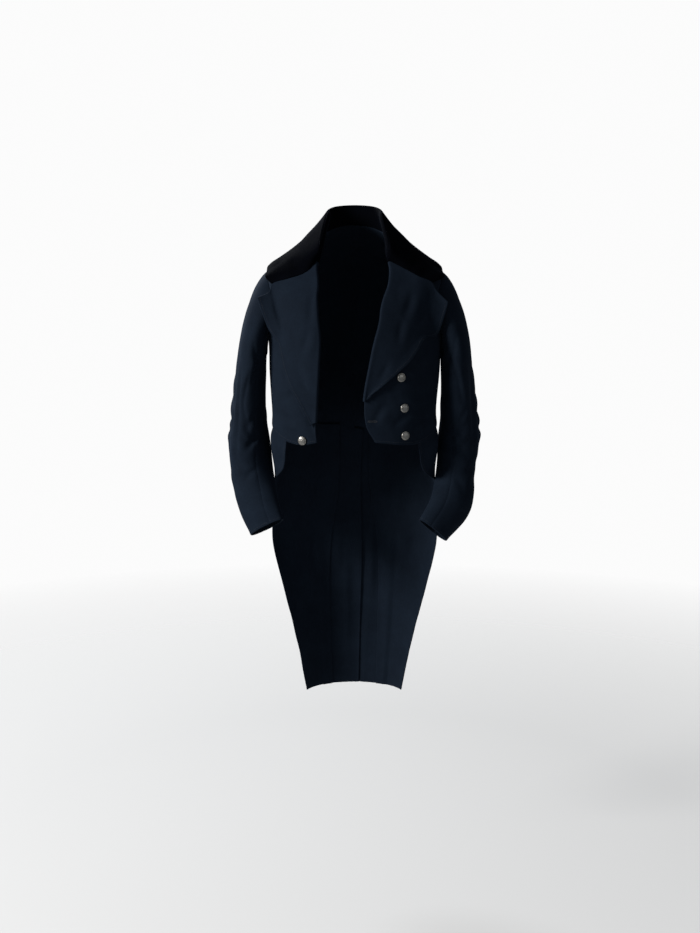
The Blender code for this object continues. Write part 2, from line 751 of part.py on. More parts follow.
def arm_frame(side_name, at):
    """Centre, direction across and direction forward of the arm ring at a row of its table."""
    rows = table(ARM_RINGS[side_name])
    ring = along(rows, at)
    centre = ring[..., :3] * MM
    ahead = along(rows, np.asarray(at) + 0.05)[..., :3] - along(rows, np.asarray(at) - 0.05)[..., :3]
    down = unit(ahead)
    across = np.array([1.0, 0, 0])
    across = unit(across - down * down[..., :1])
    forward = np.cross(down, across)
    turn = np.radians(ring[..., 5:6])
    turned = across * np.cos(turn) - forward * np.sin(turn)
    forward = across * np.sin(turn) + forward * np.cos(turn)
    return centre, turned * ring[..., 3:4] * MM, forward * ring[..., 4:5] * MM, down


def sleeve(side_name):
    """Outer face of a sleeve as a function of phi, 0 outside and 90 in front, and share down it."""
    side = SIDES[side_name]
    last = len(ARM_RINGS[side_name]) - 1
    mirror = np.array([side, 1, 1])
    folds = []
    for fold in SLEEVE_FOLDS[side_name]:
        start = fold.along1 * SLEEVE_LENGTH
        end = fold.along2 * SLEEVE_LENGTH
        folds.append(Fold(fold.turn1, start, fold.turn2, end, fold.half_width, fold.depth))

    def surface(phi, share):
        angle = np.radians(phi)[..., None]
        start = coat(armhole(phi)) + np.array([SLEEVE_GAP, 0, 0])
        centre, across, forward, down = arm_frame(side_name, np.zeros_like(phi))
        end = centre + across * np.cos(angle) + forward * np.sin(angle)
        reach = np.linalg.norm(end - start, axis=-1, keepdims=True)
        outside = HEAD_SLOPE_OUTSIDE * np.maximum(np.cos(angle), 0)
        under = HEAD_SLOPE_UNDER * np.maximum(-np.cos(angle), 0)
        slope = np.radians(HEAD_SLOPE + outside + under)
        leave = np.concatenate([np.cos(slope), -HEAD_LEAN * np.sin(angle), -np.sin(slope)], -1)
        second = start + unit(leave) * reach * HEAD_FULLNESS_AT_TOP
        third = end - down * reach * HEAD_FULLNESS_BELOW
        t = np.clip(share / HEAD_SHARE, 0, 1)[..., None]
        head = start * (1 - t) ** 3 + second * 3 * t * (1 - t) ** 2
        head = head + third * 3 * t**2 * (1 - t) + end * t**3
        at = np.clip((share - HEAD_SHARE) / (1 - HEAD_SHARE), 0, 1) * last
        centre, across, forward, down = arm_frame(side_name, at)
        arm = centre + across * np.cos(angle) + forward * np.sin(angle)
        points = np.where((share <= HEAD_SHARE)[..., None], head, arm)
        outward = unit(across * np.cos(angle) + forward * np.sin(angle))
        pressed = np.zeros(share.shape)
        for around in (-360, 0, 360):
            flat = np.stack([(phi + around) * MM, share * SLEEVE_LENGTH * MM], -1)
            pressed += fold_depth(flat, folds)
        return (points - outward * pressed[..., None]) * mirror

    return surface


def grid(surface, columns, rows, column_step, row_step):
    """Points of a surface at every column and row, and the directions that lead out of it."""
    column, row = np.meshgrid(np.asarray(columns, float), np.asarray(rows, float))
    low = np.maximum(column - column_step, column.min())
    high = np.minimum(column + column_step, column.max())
    across = surface(high, row) - surface(low, row)
    low = np.maximum(row - row_step, row.min())
    high = np.minimum(row + row_step, row.max())
    down = surface(column, high) - surface(column, low)
    return surface(column, row), unit(np.cross(down, across))


def pull_in(points, gap):
    """Draw the border of a grid of points in by half a seam's gap."""
    points = points.copy()
    points[0] += unit(points[1] - points[0]) * gap
    points[-1] += unit(points[-2] - points[-1]) * gap
    points[:, 0] += unit(points[:, 1] - points[:, 0]) * gap
    points[:, -1] += unit(points[:, -2] - points[:, -1]) * gap
    return points


def material(name, finish):
    """A plain material of one finish."""
    made = bpy.data.materials.get(name)
    if made:
        return made
    made = bpy.data.materials.new(name)
    made.use_nodes = True
    shader = made.node_tree.nodes["Principled BSDF"]
    shader.inputs["Base Color"].default_value = finish.colour
    shader.inputs["Roughness"].default_value = finish.roughness
    shader.inputs["Metallic"].default_value = finish.metallic
    made.diffuse_color = finish.colour
    return made


def add_object(name, points, faces, finish_name, finish):
    """A named, smooth-shaded mesh object."""
    mesh = bpy.data.meshes.new(name)
    mesh.from_pydata([tuple(p) for p in points], [], faces)
    mesh.materials.append(material(finish_name, finish))
    mesh.validate()
    mesh.shade_smooth()
    made = bpy.data.objects.new(name, mesh)
    bpy.context.collection.objects.link(made)
    return made


def wall(name, visible, outward, finish_name, finish, thickness=CLOTH, gap=SEAM_GAP / 2):
    """A closed sheet of cloth whose seen face is a grid of points; it thickens away from outward."""
    hidden = visible - outward * thickness
    visible = pull_in(visible, gap)
    hidden = pull_in(hidden, gap)
    rows, columns = visible.shape[:2]
    count = rows * columns
    number = np.arange(count).reshape(rows, columns)
    faces = []
    for i in range(rows - 1):
        for j in range(columns - 1):
            a, b, c, d = number[i, j], number[i, j + 1], number[i + 1, j + 1], number[i + 1, j]
            faces.append((a, d, c, b))
            faces.append((a + count, b + count, c + count, d + count))
    rim = list(number[0, :-1]) + list(number[:-1, -1]) + list(number[-1, :0:-1]) + list(number[:0:-1, 0])
    for a, b in zip(rim, rim[1:] + rim[:1]):
        faces.append((a, b, b + count, a + count))
    points = np.vstack([visible.reshape(-1, 3), hidden.reshape(-1, 3)])
    faces = [tuple(int(k) for k in face) for face in faces]
    if volume(points, faces) < 0:
        faces = [face[::-1] for face in faces]
    return add_object(name, points, faces, finish_name, finish)


def volume(points, faces):
    """Signed volume inside a closed mesh."""
    total = 0.0
    for face in faces:
        for k in range(1, len(face) - 1):
            total += np.dot(points[face[0]], np.cross(points[face[k]], points[face[k + 1]]))
    return total / 6


BUTTON_SIDES = 16
# Profile of a button from its shank to the top of its dome, as shares of its radius and height
ButtonRing = namedtuple("ButtonRing", "radius height")
BUTTON_PROFILE = [
    ButtonRing(0.20, -BUTTON_STANDS_OFF / BUTTON_DOME),
    ButtonRing(0.20, 0.0),
    ButtonRing(0.93, 0.05),
    ButtonRing(1.00, 0.26),
    ButtonRing(0.88, 0.62),
    ButtonRing(0.62, 0.88),
    ButtonRing(0.30, 0.98),
]


def button(spot):
    """A domed metal button that stands on its shank."""
    domain = place(spot.side * spot.x * MM, spot.z * MM, spot.behind)
    normal = coat_normal(domain)[0]
    seat = BUTTON_SEAT_BEHIND if spot.behind else SEAM_GAP
    base = cloth(domain)[0] + normal * (seat + BUTTON_STANDS_OFF)
    across = unit(np.cross(normal, np.array([0, 0, 1.0])))
    up = np.cross(across, normal)
    points = []
    for ring in BUTTON_PROFILE:
        for k in range(BUTTON_SIDES):
            turn = 2 * math.pi * k / BUTTON_SIDES
            spoke = across * math.cos(turn) + up * math.sin(turn)
            points.append(base + spoke * ring.radius * BUTTON_RADIUS + normal * ring.height * BUTTON_DOME)
    faces = [tuple(range(BUTTON_SIDES - 1, -1, -1))]
    for level in range(len(BUTTON_PROFILE) - 1):
        for k in range(BUTTON_SIDES):
            after = (k + 1) % BUTTON_SIDES
            low, high = level * BUTTON_SIDES, (level + 1) * BUTTON_SIDES
            faces.append((low + k, low + after, high + after, high + k))
    faces.append(tuple(range(len(points) - BUTTON_SIDES, len(points))))
    points = np.array(points)
    if volume(points, faces) < 0:
        faces = [face[::-1] for face in faces]
    made = add_object(spot.name, points, faces, "button_metal", METAL)
    made.data.set_sharp_from_angle(angle=math.radians(50))
    return made


def facing(outward, points):
    """The directions, turned so that they lead away from the middle of the coat."""
    middle = np.array([0.0, 0.03, 0.0])
    flat = (points - middle) * np.array([1, 1, 0])
    return outward if (outward * flat).sum() > 0 else -outward


Panel = namedtuple("Panel", "name surface columns rows")


def build_half(side_name):
    """All the cloth pieces of one side."""
    wool = ("wool", WOOL)
    side = SIDES[side_name]
    panels = [
        Panel("front", front_panel(side_name), FRONT_COLUMNS, FRONT_ROWS),
        Panel("side_body", side_panel(side_name), SIDE_COLUMNS, FRONT_ROWS_BELOW_ARM),
        Panel("back", back_panel(side_name), BACK_COLUMNS, BACK_ROWS),
        Panel("skirt", skirt_panel(side_name), SKIRT_COLUMNS, SKIRT_ROWS),
    ]
    for panel in panels:
        columns = np.linspace(0, 1, panel.columns + 1)
        points, outward = grid(panel.surface, columns, range(panel.rows + 1), 0.004, 0.02)
        wall(f"{panel.name}_{side_name}", points, facing(outward, points), *wool)
    head_rows = np.linspace(0, HEAD_SHARE, SLEEVE_HEAD_ROWS + 1)
    arm_rows = np.linspace(HEAD_SHARE, 1, SLEEVE_ARM_ROWS + 1)[1:]
    shares = np.concatenate([head_rows, arm_rows])
    halves = (("top_sleeve", HIND_SEAM, FORE_SEAM), ("under_sleeve", FORE_SEAM, HIND_SEAM + 360))
    for name, first, last in halves:
        turns = np.linspace(first, last, SLEEVE_COLUMNS + 1)
        points, outward = grid(sleeve(side_name), turns, shares, 0.5, 0.001)
        wall(f"{name}_{side_name}", points, outward * -side, *wool, gap=SLEEVE_SEAM_GAP / 2)
    last = BREAK_ROW[side_name]
    rows = list(range(round(GORGE_ROW), math.floor(last) + 1)) + [last]
    columns = range(ROLL_STEPS + LAPEL_COLUMNS + 1)
    points, outward = grid(lapel(side_name), columns, rows, 0.05, 0.05)
    wall(f"lapel_{side_name}", points, outward * side, *wool)


def build():
    """The whole coat."""
    for side_name in SIDES:
        build_half(side_name)
    turns = np.linspace(-1, 1, COLLAR_STEPS + 1)
    points, outward = grid(collar, range(COLLAR_ACROSS + 1), turns, 0.05, 0.004)
    wall("collar", points, -outward, "velvet", VELVET)
    for spot in BUTTONS:
        button(spot)


for old in list(bpy.data.objects):
    bpy.data.objects.remove(old)
build()
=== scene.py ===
"""The looks of a double-breasted tailcoat of about 1840, worn open, in the frame of its solids.

Units are metres. +X is the wearer's left, -Y the front and +Z up. The origin is the middle of
the neck, level with the point where the shoulder seam meets the neckline. The surfaces are the
solids' own, on finer grids, with the creases, seams, sewing and cloth that show from close by.
"""

import math
from collections import namedtuple

import bpy
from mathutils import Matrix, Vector
import numpy as np


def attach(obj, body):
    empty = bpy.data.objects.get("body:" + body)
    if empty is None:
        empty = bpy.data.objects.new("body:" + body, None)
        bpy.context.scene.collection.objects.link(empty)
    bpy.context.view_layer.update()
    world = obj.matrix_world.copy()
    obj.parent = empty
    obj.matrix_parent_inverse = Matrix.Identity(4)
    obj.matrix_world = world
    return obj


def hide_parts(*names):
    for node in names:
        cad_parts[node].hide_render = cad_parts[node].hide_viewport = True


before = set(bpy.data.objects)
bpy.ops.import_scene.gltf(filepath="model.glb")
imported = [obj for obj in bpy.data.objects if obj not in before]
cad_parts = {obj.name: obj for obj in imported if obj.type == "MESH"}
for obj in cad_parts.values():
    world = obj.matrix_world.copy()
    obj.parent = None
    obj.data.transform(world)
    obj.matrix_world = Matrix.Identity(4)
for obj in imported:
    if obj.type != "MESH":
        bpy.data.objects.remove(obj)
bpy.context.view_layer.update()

MM = 0.001


def rows_of(kind, *rows):
    """A table whose rows are all of one kind."""
    return [kind(*row) for row in rows]


# Cloth and making up
CLOTH = 2.2 * MM
SEAM_GAP = 0.3 * MM
ROLL_RADIUS = 2.2 * MM
LAPEL_LIFT = 5.0 * MM
LIFT_OVER_COAT = 4.4 * MM
LAP_AT_WAIST = 9.0 * MM
FLAT_FRONT = 168.0 * MM
VENT_LAP = 20.0 * MM
VENT_LIFT = 3.4 * MM
PLEAT_DEPTH = 24.0 * MM
PLEAT_INSET = 3.2 * MM
BACK_RADIUS = 150.0 * MM
LEVEL_HEIGHT = 62.0 * MM
WAIST_INSET = 3.7 * MM
BUTTON_RADIUS = 9.25 * MM
BUTTON_DOME = 3.4 * MM
BUTTON_STANDS_OFF = 1.6 * MM
BUTTON_SEAT_BEHIND = 0.8 * MM

# Steps of the surfaces' own coordinates: round an armhole, down the pieces, and over the roll and
# the fall of a lapel
ARMHOLE_STEPS = 24
FRONT_ROWS_BELOW_ARM = 8
SKIRT_ROWS = 18
ROLL_STEPS = 4
LAPEL_COLUMNS = 8

# One row for each level of the coat's outer face, from the neckline to the tail hem
Loop = namedtuple(
    "Loop", "half_width front_y side_y back_y front_z side_z back_z squareness"
)
LOOPS = [
    Loop(68, -52, 5, 68, -75, -2, 18, 2.00),
    Loop(128, -84, 12, 97, -104, -42, -20, 2.20),
    Loop(184, -102, 18, 117, -136, -80, -66, 2.45),
    Loop(188, -112, 14, 127, -172, -146, -132, 2.60),
    Loop(185, -117, 8, 127, -226, -215, -212, 2.55),
    Loop(182, -120, 4, 116, -300, -295, -298, 2.50),
    Loop(176, -118, 0, 101, -380, -375, -378, 2.45),
    Loop(179, -115, 0, 104, -445, -440, -436, 2.40),
    Loop(175, -106, 24, 118, -515, -512, -508, 2.20),
    Loop(181, -98, 42, 134, -595, -592, -590, 2.15),
    Loop(184, -96, 40, 145, -680, -678, -676, 2.25),
    Loop(166, -80, 30, 151, -770, -768, -766, 2.35),
    Loop(147, -50, 42, 153, -860, -858, -856, 2.30),
    Loop(130, -20, 52, 152, -950, -948, -946, 2.25),
    Loop(115, 10, 60, 150, -1038, -1036, -1034, 2.20),
]

# The armhole in degrees round the body and in levels of the table above
ARMHOLE_ANGLE = 92.0
ARMHOLE_HALF_ANGLE = 30.0
ARMHOLE_LEVEL = 3.0
SHOULDER_SEAM = -15.0
SIDE_SEAM = 150.0
BACK_SEAM = 210.0
NECK_SEAM_ANGLE = 97.0

# Front edge of each front panel, from the gorge to the hem, as seen from the front
EdgePoint = namedtuple("EdgePoint", "x z")
FRONT_EDGE = {
    "right": rows_of(
        EdgePoint,
        (69, -30), (75, -64), (74, -120), (71, -200), (72, -283), (75, -345), (82, -400),
        (79, -435),
    ),
    "left": rows_of(
        EdgePoint,
        (69, -30), (69, -64), (61, -130), (46, -200), (30, -268), (17, -345), (25, -400),
        (43, -434),
    ),
}
EDGE_STATIONS = [0.0, 1.2, 3.0, 5.5, 8.5, 11.5, 14.4, 17.3, 19.0]
BREAK_ROW = {"right": 16.8, "left": 14.5}
FRONT_HEM = rows_of(
    EdgePoint,
    (110, -441), (139, -437), (158, -428), (170, -418),
)

# Outer edge of each lapel, from the peak to the break; ahead is the distance in front of the coat
LapelPoint = namedtuple("LapelPoint", "x z ahead")
LAPEL_EDGE = {
    "right": rows_of(
        LapelPoint,
        (202, -136, 14), (193, -164, 15), (180, -200, 13), (162, -229, 9), (154, -261, 8),
        (147, -288, 8), (134, -323, 8), (121, -345, 7), (106, -375, 7), (94, -400, 7),
    ),
    "left": rows_of(
        LapelPoint,
        (194, -145, 15), (185, -178, 14), (172, -212, 11), (146, -219, 8), (131, -242, 8),
        (117, -262, 7), (101, -278, 7), (78, -298, 7), (52, -320, 7), (27, -340, 7),
    ),
}
# Top edge of each lapel, from the roll along the gorge seam, round the notch to the peak
LAPEL_TOP = {
    "right": rows_of(
        LapelPoint,
        (103, -84, 7), (140, -97, 8), (171, -106, 9), (178, -124, 11),
    ),
    "left": rows_of(
        LapelPoint,
        (104, -76, 7), (131, -91, 8), (160, -103, 9), (171, -122, 11),
    ),
}
LAPEL_TOP_STATIONS = [0.0, 0.22, 0.50, 0.74, 0.84, 1.0]

# Half of the collar, from the middle of the back to the gorge. It is sewn on at an angle of the
# neckline or, in front, at a row of the front panel. The fall lies on the coat up to its edge.
CollarRow = namedtuple(
    "CollarRow", "angle front_row fold_x fold_y fold_z mid_lift edge_x edge_y edge_z"
)
COLLAR = [
    CollarRow(180, 0.0, 0, 77, 58, 10, 0, 112, -34),
    CollarRow(150, 0.0, 38, 64, 55, 10, 76, 104, -40),
    CollarRow(122, 0.0, 56, 37, 47, 10, 142, 72, -57),
    CollarRow(97, 0.0, 59, 3, 36, 10, 178, 22, -71),
    CollarRow(72, 1.0, 66, -32, 5, 8, 185, -24, -84),
    CollarRow(58, 1.9, 73, -60, -30, 7, 186, -48, -94),
]
COLLAR_STAND_INSET = 1.5 * MM

# Sleeves: centre, half sizes across and fore and aft, and how far the ring turns forward
ArmRing = namedtuple("ArmRing", "x y z across deep turn")
ARM_RINGS = {
    "right": [
        ArmRing(219, 2, -262, 31.5, 70, 0),
        ArmRing(226, 8, -325, 34.5, 66, 0),
        ArmRing(231, 16, -392, 38.5, 61, 0),
        ArmRing(230, 21, -452, 43.5, 57, 4),
        ArmRing(223, 10, -520, 45.5, 46, 14),
        ArmRing(207, -26, -580, 46.5, 30, 27),
        ArmRing(189, -46, -627, 45.5, 19, 37),
    ],
    "left": [
        ArmRing(218, 2, -262, 33, 70, 0),
        ArmRing(223, 8, -325, 36.5, 66, 0),
        ArmRing(228, 16, -392, 41, 61, 0),
        ArmRing(228, 21, -448, 44.5, 57, 4),
        ArmRing(221, 10, -512, 41, 47, 14),
        ArmRing(208, -27, -578, 47.5, 31, 25),
        ArmRing(169, -48, -633, 41, 20, 33),
    ],
}
SLEEVE_GAP = 0.45 * MM
SLEEVE_SEAM_GAP = 0.5 * MM
HEAD_SHARE = 0.34
HIND_SEAM = -60.0
FORE_SEAM = 120.0
SLEEVE_LENGTH = 560.0
# Slope of the sleeve where it leaves the armhole: on top, more outside and most under the arm
HEAD_SLOPE = 8.0
HEAD_SLOPE_OUTSIDE = 22.0
HEAD_SLOPE_UNDER = 62.0
HEAD_LEAN = 0.3
HEAD_FULLNESS_AT_TOP = 0.19
HEAD_FULLNESS_BELOW = 0.40

# Front edge of each tail below the waist, as a height and an angle round the coat
TailPoint = namedtuple("TailPoint", "level angle")
LOWER_TAIL_EDGE = rows_of(
    TailPoint,
    (9.0, 94), (10.0, 98), (11.0, 100), (12.0, 103), (13.0, 107), (14.0, 110),
)
TAIL_EDGE = {
    "right": [TailPoint(6.82, 51), TailPoint(8.0, 60), *LOWER_TAIL_EDGE],
    "left": [TailPoint(6.82, 44), TailPoint(8.0, 56), *LOWER_TAIL_EDGE],
}
# Where the side-back seam and the pleat below it run on the back
SeamPoint = namedtuple("SeamPoint", "level angle")
SIDE_BACK = rows_of(
    SeamPoint,
    (4.45, 127), (5.0, 141), (5.6, 153), (6.2, 160.5), (6.86, 163.5),
)
WAIST_BEHIND = rows_of(
    SeamPoint,
    (6.36, 90), (6.60, 120), (6.86, 163.5), (6.86, 190),
)
PLEAT_LINE = rows_of(
    SeamPoint,
    (6.86, 163.5), (9.0, 160.0), (11.5, 153.0), (14.0, 146.0),
)

# Soft folds: where each starts and ends, its half width and how deep it is pressed in
FOLD_END_DEPTH = 0.35
Fold = namedtuple("Fold", "x1 z1 x2 z2 half_width depth")
FRONT_FOLDS = rows_of(
    Fold,
    (-150, -250, -128, -330, 13, 2.4), (-176, -330, -140, -425, 15, -2.6),
    (152, -255, 132, -345, 13, 2.2), (172, -345, 118, -415, 15, -2.4),
)
BACK_FOLDS = rows_of(
    Fold,
    (-150, -200, -70, -300, 17, 2.6), (148, -215, 64, -310, 17, 2.6),
    (-120, -560, -112, -930, 20, 4.0), (122, -600, 104, -960, 20, 4.0),
    (-66, -640, -58, -1000, 18, -3.2), (64, -590, 60, -900, 18, -3.2),
)
# On a sleeve a fold runs in degrees round the arm and in shares of its length
SleeveFold = namedtuple("SleeveFold", "turn1 along1 turn2 along2 half_width depth")
SLEEVE_FOLDS = {
    "right": rows_of(
        SleeveFold,
        (36, 0.34, 44, 0.66, 9, 3.2), (95, 0.26, 140, 0.42, 10, 3.4),
        (60, 0.52, 118, 0.64, 11, 3.4), (86, 0.70, 132, 0.60, 10, 3.0),
        (-80, 0.58, -150, 0.66, 12, 3.6), (-70, 0.74, -140, 0.68, 11, 2.8),
    ),
    "left": rows_of(
        SleeveFold,
        (40, 0.36, 40, 0.62, 9, 3.0), (90, 0.24, 142, 0.38, 10, 3.2),
        (70, 0.56, 128, 0.65, 11, 3.2), (72, 0.74, 120, 0.66, 10, 3.0),
        (-76, 0.55, -140, 0.64, 12, 3.6), (-90, 0.72, -150, 0.67, 11, 2.8),
    ),
}

# Buttons: place on the coat, as seen from the front or the back
ButtonPlace = namedtuple("ButtonPlace", "name side x z behind")
BUTTONS = [
    ButtonPlace("button_front_left_1", 1, 96, -299, False),
    ButtonPlace("button_front_left_2", 1, 103, -363, False),
    ButtonPlace("button_front_left_3", 1, 105, -421, False),
    ButtonPlace("button_front_right", -1, 109, -432, False),
    ButtonPlace("button_back_left", 1, 42, -418, True),
    ButtonPlace("button_back_right", -1, 42, -418, True),
]

SIDES = {"left": 1, "right": -1}


def table(rows):
    """The rows of a table as an array."""
    return np.array([tuple(row) for row in rows], float)


def along(rows, at):
    """Smooth values between the rows of a table; at counts rows from 0."""
    rows = np.asarray(rows, float)
    last = len(rows) - 1
    padded = np.vstack([2 * rows[0] - rows[1], rows, 2 * rows[-1] - rows[-2]])
    at = np.clip(np.asarray(at, float), 0, last)
    low = np.minimum(at.astype(int), last - 1)
    t = (at - low)[..., None]
    a, b, c, d = (padded[low + k] for k in range(4))
    return b + 0.5 * t * (c - a + t * (2 * a - 5 * b + 4 * c - d + t * (3 * (b - c) + d - a)))


def unit(vectors):
    """The vectors at length 1."""
    return vectors / np.maximum(np.linalg.norm(vectors, axis=-1, keepdims=True), 1e-12)


LOOP_ROWS = table(LOOPS) * np.array([MM] * 7 + [1.0])
LAST_LEVEL = len(LOOPS) - 1
# How sharply a level's height turns from the sides to the front and the back
HEIGHT_POWER = 1.6


def coat(domain):
    """Points of the coat's outer face at (angle in degrees, level); the wearer's left is positive."""
    angle = np.radians(domain[..., 0])
    loop = along(LOOP_ROWS, domain[..., 1])
    sine = np.sin(angle)
    cosine = np.cos(angle)
    power = 2 / loop[..., 7]
    reach = np.abs(cosine) ** power
    facing = cosine > 0
    x = loop[..., 0] * np.sign(sine) * np.abs(sine) ** power
    y = loop[..., 2] + (np.where(facing, loop[..., 1], loop[..., 3]) - loop[..., 2]) * reach
    rise = np.where(facing, loop[..., 4], loop[..., 6]) - loop[..., 5]
    z = loop[..., 5] + rise * reach**HEIGHT_POWER
    return np.stack([x, y, z], -1)


def coat_normal(domain):
    """Outward direction of the coat's outer face."""
    turn = np.array([0.5, 0.0])
    drop = np.array([0.0, 0.02])
    across = coat(domain + turn) - coat(domain - turn)
    down = coat(domain + drop) - coat(domain - drop)
    return unit(np.cross(down, across))


# Rounds of halving in the search for a point that is seen at x and z
PLACE_ROUNDS = 40


def place(x, z, behind=False):
    """The (angle, level) of the point of the coat seen at x and z from the front or from behind."""
    x = np.atleast_1d(np.asarray(x, float))
    z = np.atleast_1d(np.asarray(z, float))
    low = np.zeros_like(x)
    high = np.full_like(x, LAST_LEVEL)
    for _ in range(PLACE_ROUNDS):
        level = (low + high) / 2
        loop = along(LOOP_ROWS, level)
        sine = np.minimum(np.abs(x) / loop[..., 0], 1) ** (loop[..., 7] / 2)
        angle = np.degrees(np.arcsin(sine))
        angle = np.where(x < 0, -1, 1) * np.where(behind, 180 - angle, angle)
        higher = coat(np.stack([angle, level], -1))[..., 2] > z
        low = np.where(higher, level, low)
        high = np.where(higher, high, level)
    return np.stack([angle, level], -1)


def fold_depth(points, folds):
    """How far the folds press the cloth in, at points given by two coordinates."""
    depth = np.zeros(points.shape[:-1])
    for fold in folds:
        start = np.array([fold.x1, fold.z1]) * MM
        run = np.array([fold.x2, fold.z2]) * MM - start
        share = np.clip(((points - start) @ run) / (run @ run), 0, 1)
        off = np.linalg.norm(points - start - share[..., None] * run, axis=-1)
        taper = FOLD_END_DEPTH + (1 - FOLD_END_DEPTH) * np.sin(math.pi * share)
        depth += fold.depth * MM * taper * np.exp(-((off / (fold.half_width * MM)) ** 2))
    return depth


def cloth(domain, lift=0.0):
    """Points of the coat with its folds, moved out by lift."""
    points = coat(domain)
    normal = coat_normal(domain)
    seen = points[..., [0, 2]]
    facing = np.cos(np.radians(domain[..., 0])) > 0
    depth = np.where(facing, fold_depth(seen, FRONT_FOLDS), fold_depth(seen, BACK_FOLDS))
    return points + normal * (lift - depth)[..., None]


# Search for the nearest point of the coat: its rounds, the degrees and levels that it tries out,
# the largest moves of one round, and how far it stays from the first and the last level
NEAREST_ROUNDS = 8
TRIED_TURN = 0.2
TRIED_DROP = 0.01
LARGEST_TURN = 8
LARGEST_DROP = 0.3
END_MARGIN = 0.02
# Points behind this place are looked for on the back
BACK_STARTS = 0.01


def nearest(points, guess):
    """The (angle, level) of the coat's point nearest to each point, from a first guess."""
    domain = np.array(guess, float)
    for _ in range(NEAREST_ROUNDS):
        base = coat(domain)
        turn = (coat(domain + [TRIED_TURN, 0]) - base) / TRIED_TURN
        drop = (coat(domain + [0, TRIED_DROP]) - base) / TRIED_DROP
        off = points - base
        aa = (turn * turn).sum(-1)
        bb = (drop * drop).sum(-1)
        ab = (turn * drop).sum(-1)
        whole = np.maximum(aa * bb - ab * ab, 1e-16)
        a = (off * turn).sum(-1)
        b = (off * drop).sum(-1)
        domain[..., 0] += np.clip((a * bb - b * ab) / whole, -LARGEST_TURN, LARGEST_TURN)
        domain[..., 1] += np.clip((b * aa - a * ab) / whole, -LARGEST_DROP, LARGEST_DROP)
        domain[..., 1] = np.clip(domain[..., 1], END_MARGIN, LAST_LEVEL - END_MARGIN)
    return domain


def foot(points):
    """The (angle, level) of the coat under each point."""
    behind = points[..., 1].ravel() > BACK_STARTS
    guess = place(points[..., 0].ravel(), points[..., 2].ravel(), behind)
    return nearest(points, guess.reshape(points.shape[:-1] + (2,)))


def laid(points, lift):
    """Points brought to a height of lift over the coat."""
    domain = foot(points)
    return coat(domain) + coat_normal(domain) * lift


def kept_clear(points, lift):
    """Points moved out where they lie less than lift in front of the coat's outer face."""
    domain = foot(points)
    normal = coat_normal(domain)
    height = ((points - coat(domain)) * normal).sum(-1)
    return points + normal * np.maximum(lift - height, 0)[..., None]


def armhole(phi):
    """The (angle, level) of the armhole's edge; phi is 0 on top and 90 in front."""
    phi = np.radians(phi)
    angle = ARMHOLE_ANGLE - ARMHOLE_HALF_ANGLE * np.sin(phi)
    return np.stack([angle, ARMHOLE_LEVEL - np.cos(phi)], -1)


def waist_level(angle):
    """Level of the waist seam at an angle round the coat."""
    rows = place([p.x * MM for p in FRONT_HEM], [p.z * MM for p in FRONT_HEM])
    rows = np.vstack([rows, [(p.angle, p.level) for p in WAIST_BEHIND]])
    return np.interp(angle, rows[:, 0], rows[:, 1])


def ease(share):
    """0 below 0 and 1 above 1, with a soft start and end."""
    share = np.clip(share, 0, 1)
    return share * share * (3 - 2 * share)


def through(stations, rows, at):
    """Smooth values through rows that stand at the given stations."""
    return along(rows, np.interp(at, stations, np.arange(len(stations))))


def coat_point(point, side):
    """A table's point as (x, y, z), its distance ahead measured from the coat's front face."""
    domain = place(side * min(point.x * MM, FLAT_FRONT), point.z * MM)
    y = coat(domain)[0, 1] - point.ahead * MM
    return np.array([side * point.x * MM, y, point.z * MM])


ARM_ROWS = round((SIDE_SEAM - SHOULDER_SEAM) * ARMHOLE_STEPS / 360)
FRONT_ROWS = ARM_ROWS + FRONT_ROWS_BELOW_ARM
GORGE_ROW = 3.0
SIDE_SEAM_FOOT = 73.0
WAIST = SIDE_BACK[-1].level
ROLL_OUT = ROLL_RADIUS + CLOTH


def side_seam(down, side):
    """Seam between the front and the side body; down is 0 at the armhole and 1 at the waist."""
    top = armhole(SIDE_SEAM)
    angle = top[0] + (SIDE_SEAM_FOOT - top[0]) * down
    level = top[1] + (waist_level(SIDE_SEAM_FOOT) - top[1]) * down
    return np.stack([side * angle, level], -1)


def front_edge(side_name, row):
    """Where the front panel ends towards the middle, at a row of the panel."""
    side = SIDES[side_name]
    row = np.asarray(row, float)
    points = table(FRONT_EDGE[side_name]) * MM
    points[1:-2, 0] += ROLL_OUT
    rest = place(side * points[:, 0], points[:, 1])
    rows = np.vstack([[side * NECK_SEAM_ANGLE, 0.0], rest])
    return through(EDGE_STATIONS, rows, row)


def front_side(side, row):
    """Where the front panel ends towards the arm: the armhole, then the side seam."""
    row = np.asarray(row, float)
    on_arm = armhole(SHOULDER_SEAM + row * 360 / ARMHOLE_STEPS) * np.array([side, 1])
    down = np.clip((row - ARM_ROWS) / FRONT_ROWS_BELOW_ARM, 0, 1)
    return np.where((row <= ARM_ROWS)[..., None], on_arm, side_seam(down, side))


def front_hem(side_name, across):
    """Hem of the front panel, from the front edge to the side seam."""
    side = SIDES[side_name]
    start = front_edge(side_name, FRONT_ROWS)
    rest = place([side * p.x * MM for p in FRONT_HEM], [p.z * MM for p in FRONT_HEM])
    rows = np.vstack([start, rest, side_seam(np.array(1.0), side)])
    stations = (rows[:, 0] - rows[0, 0]) / (rows[-1, 0] - rows[0, 0])
    return through(stations, rows, across)


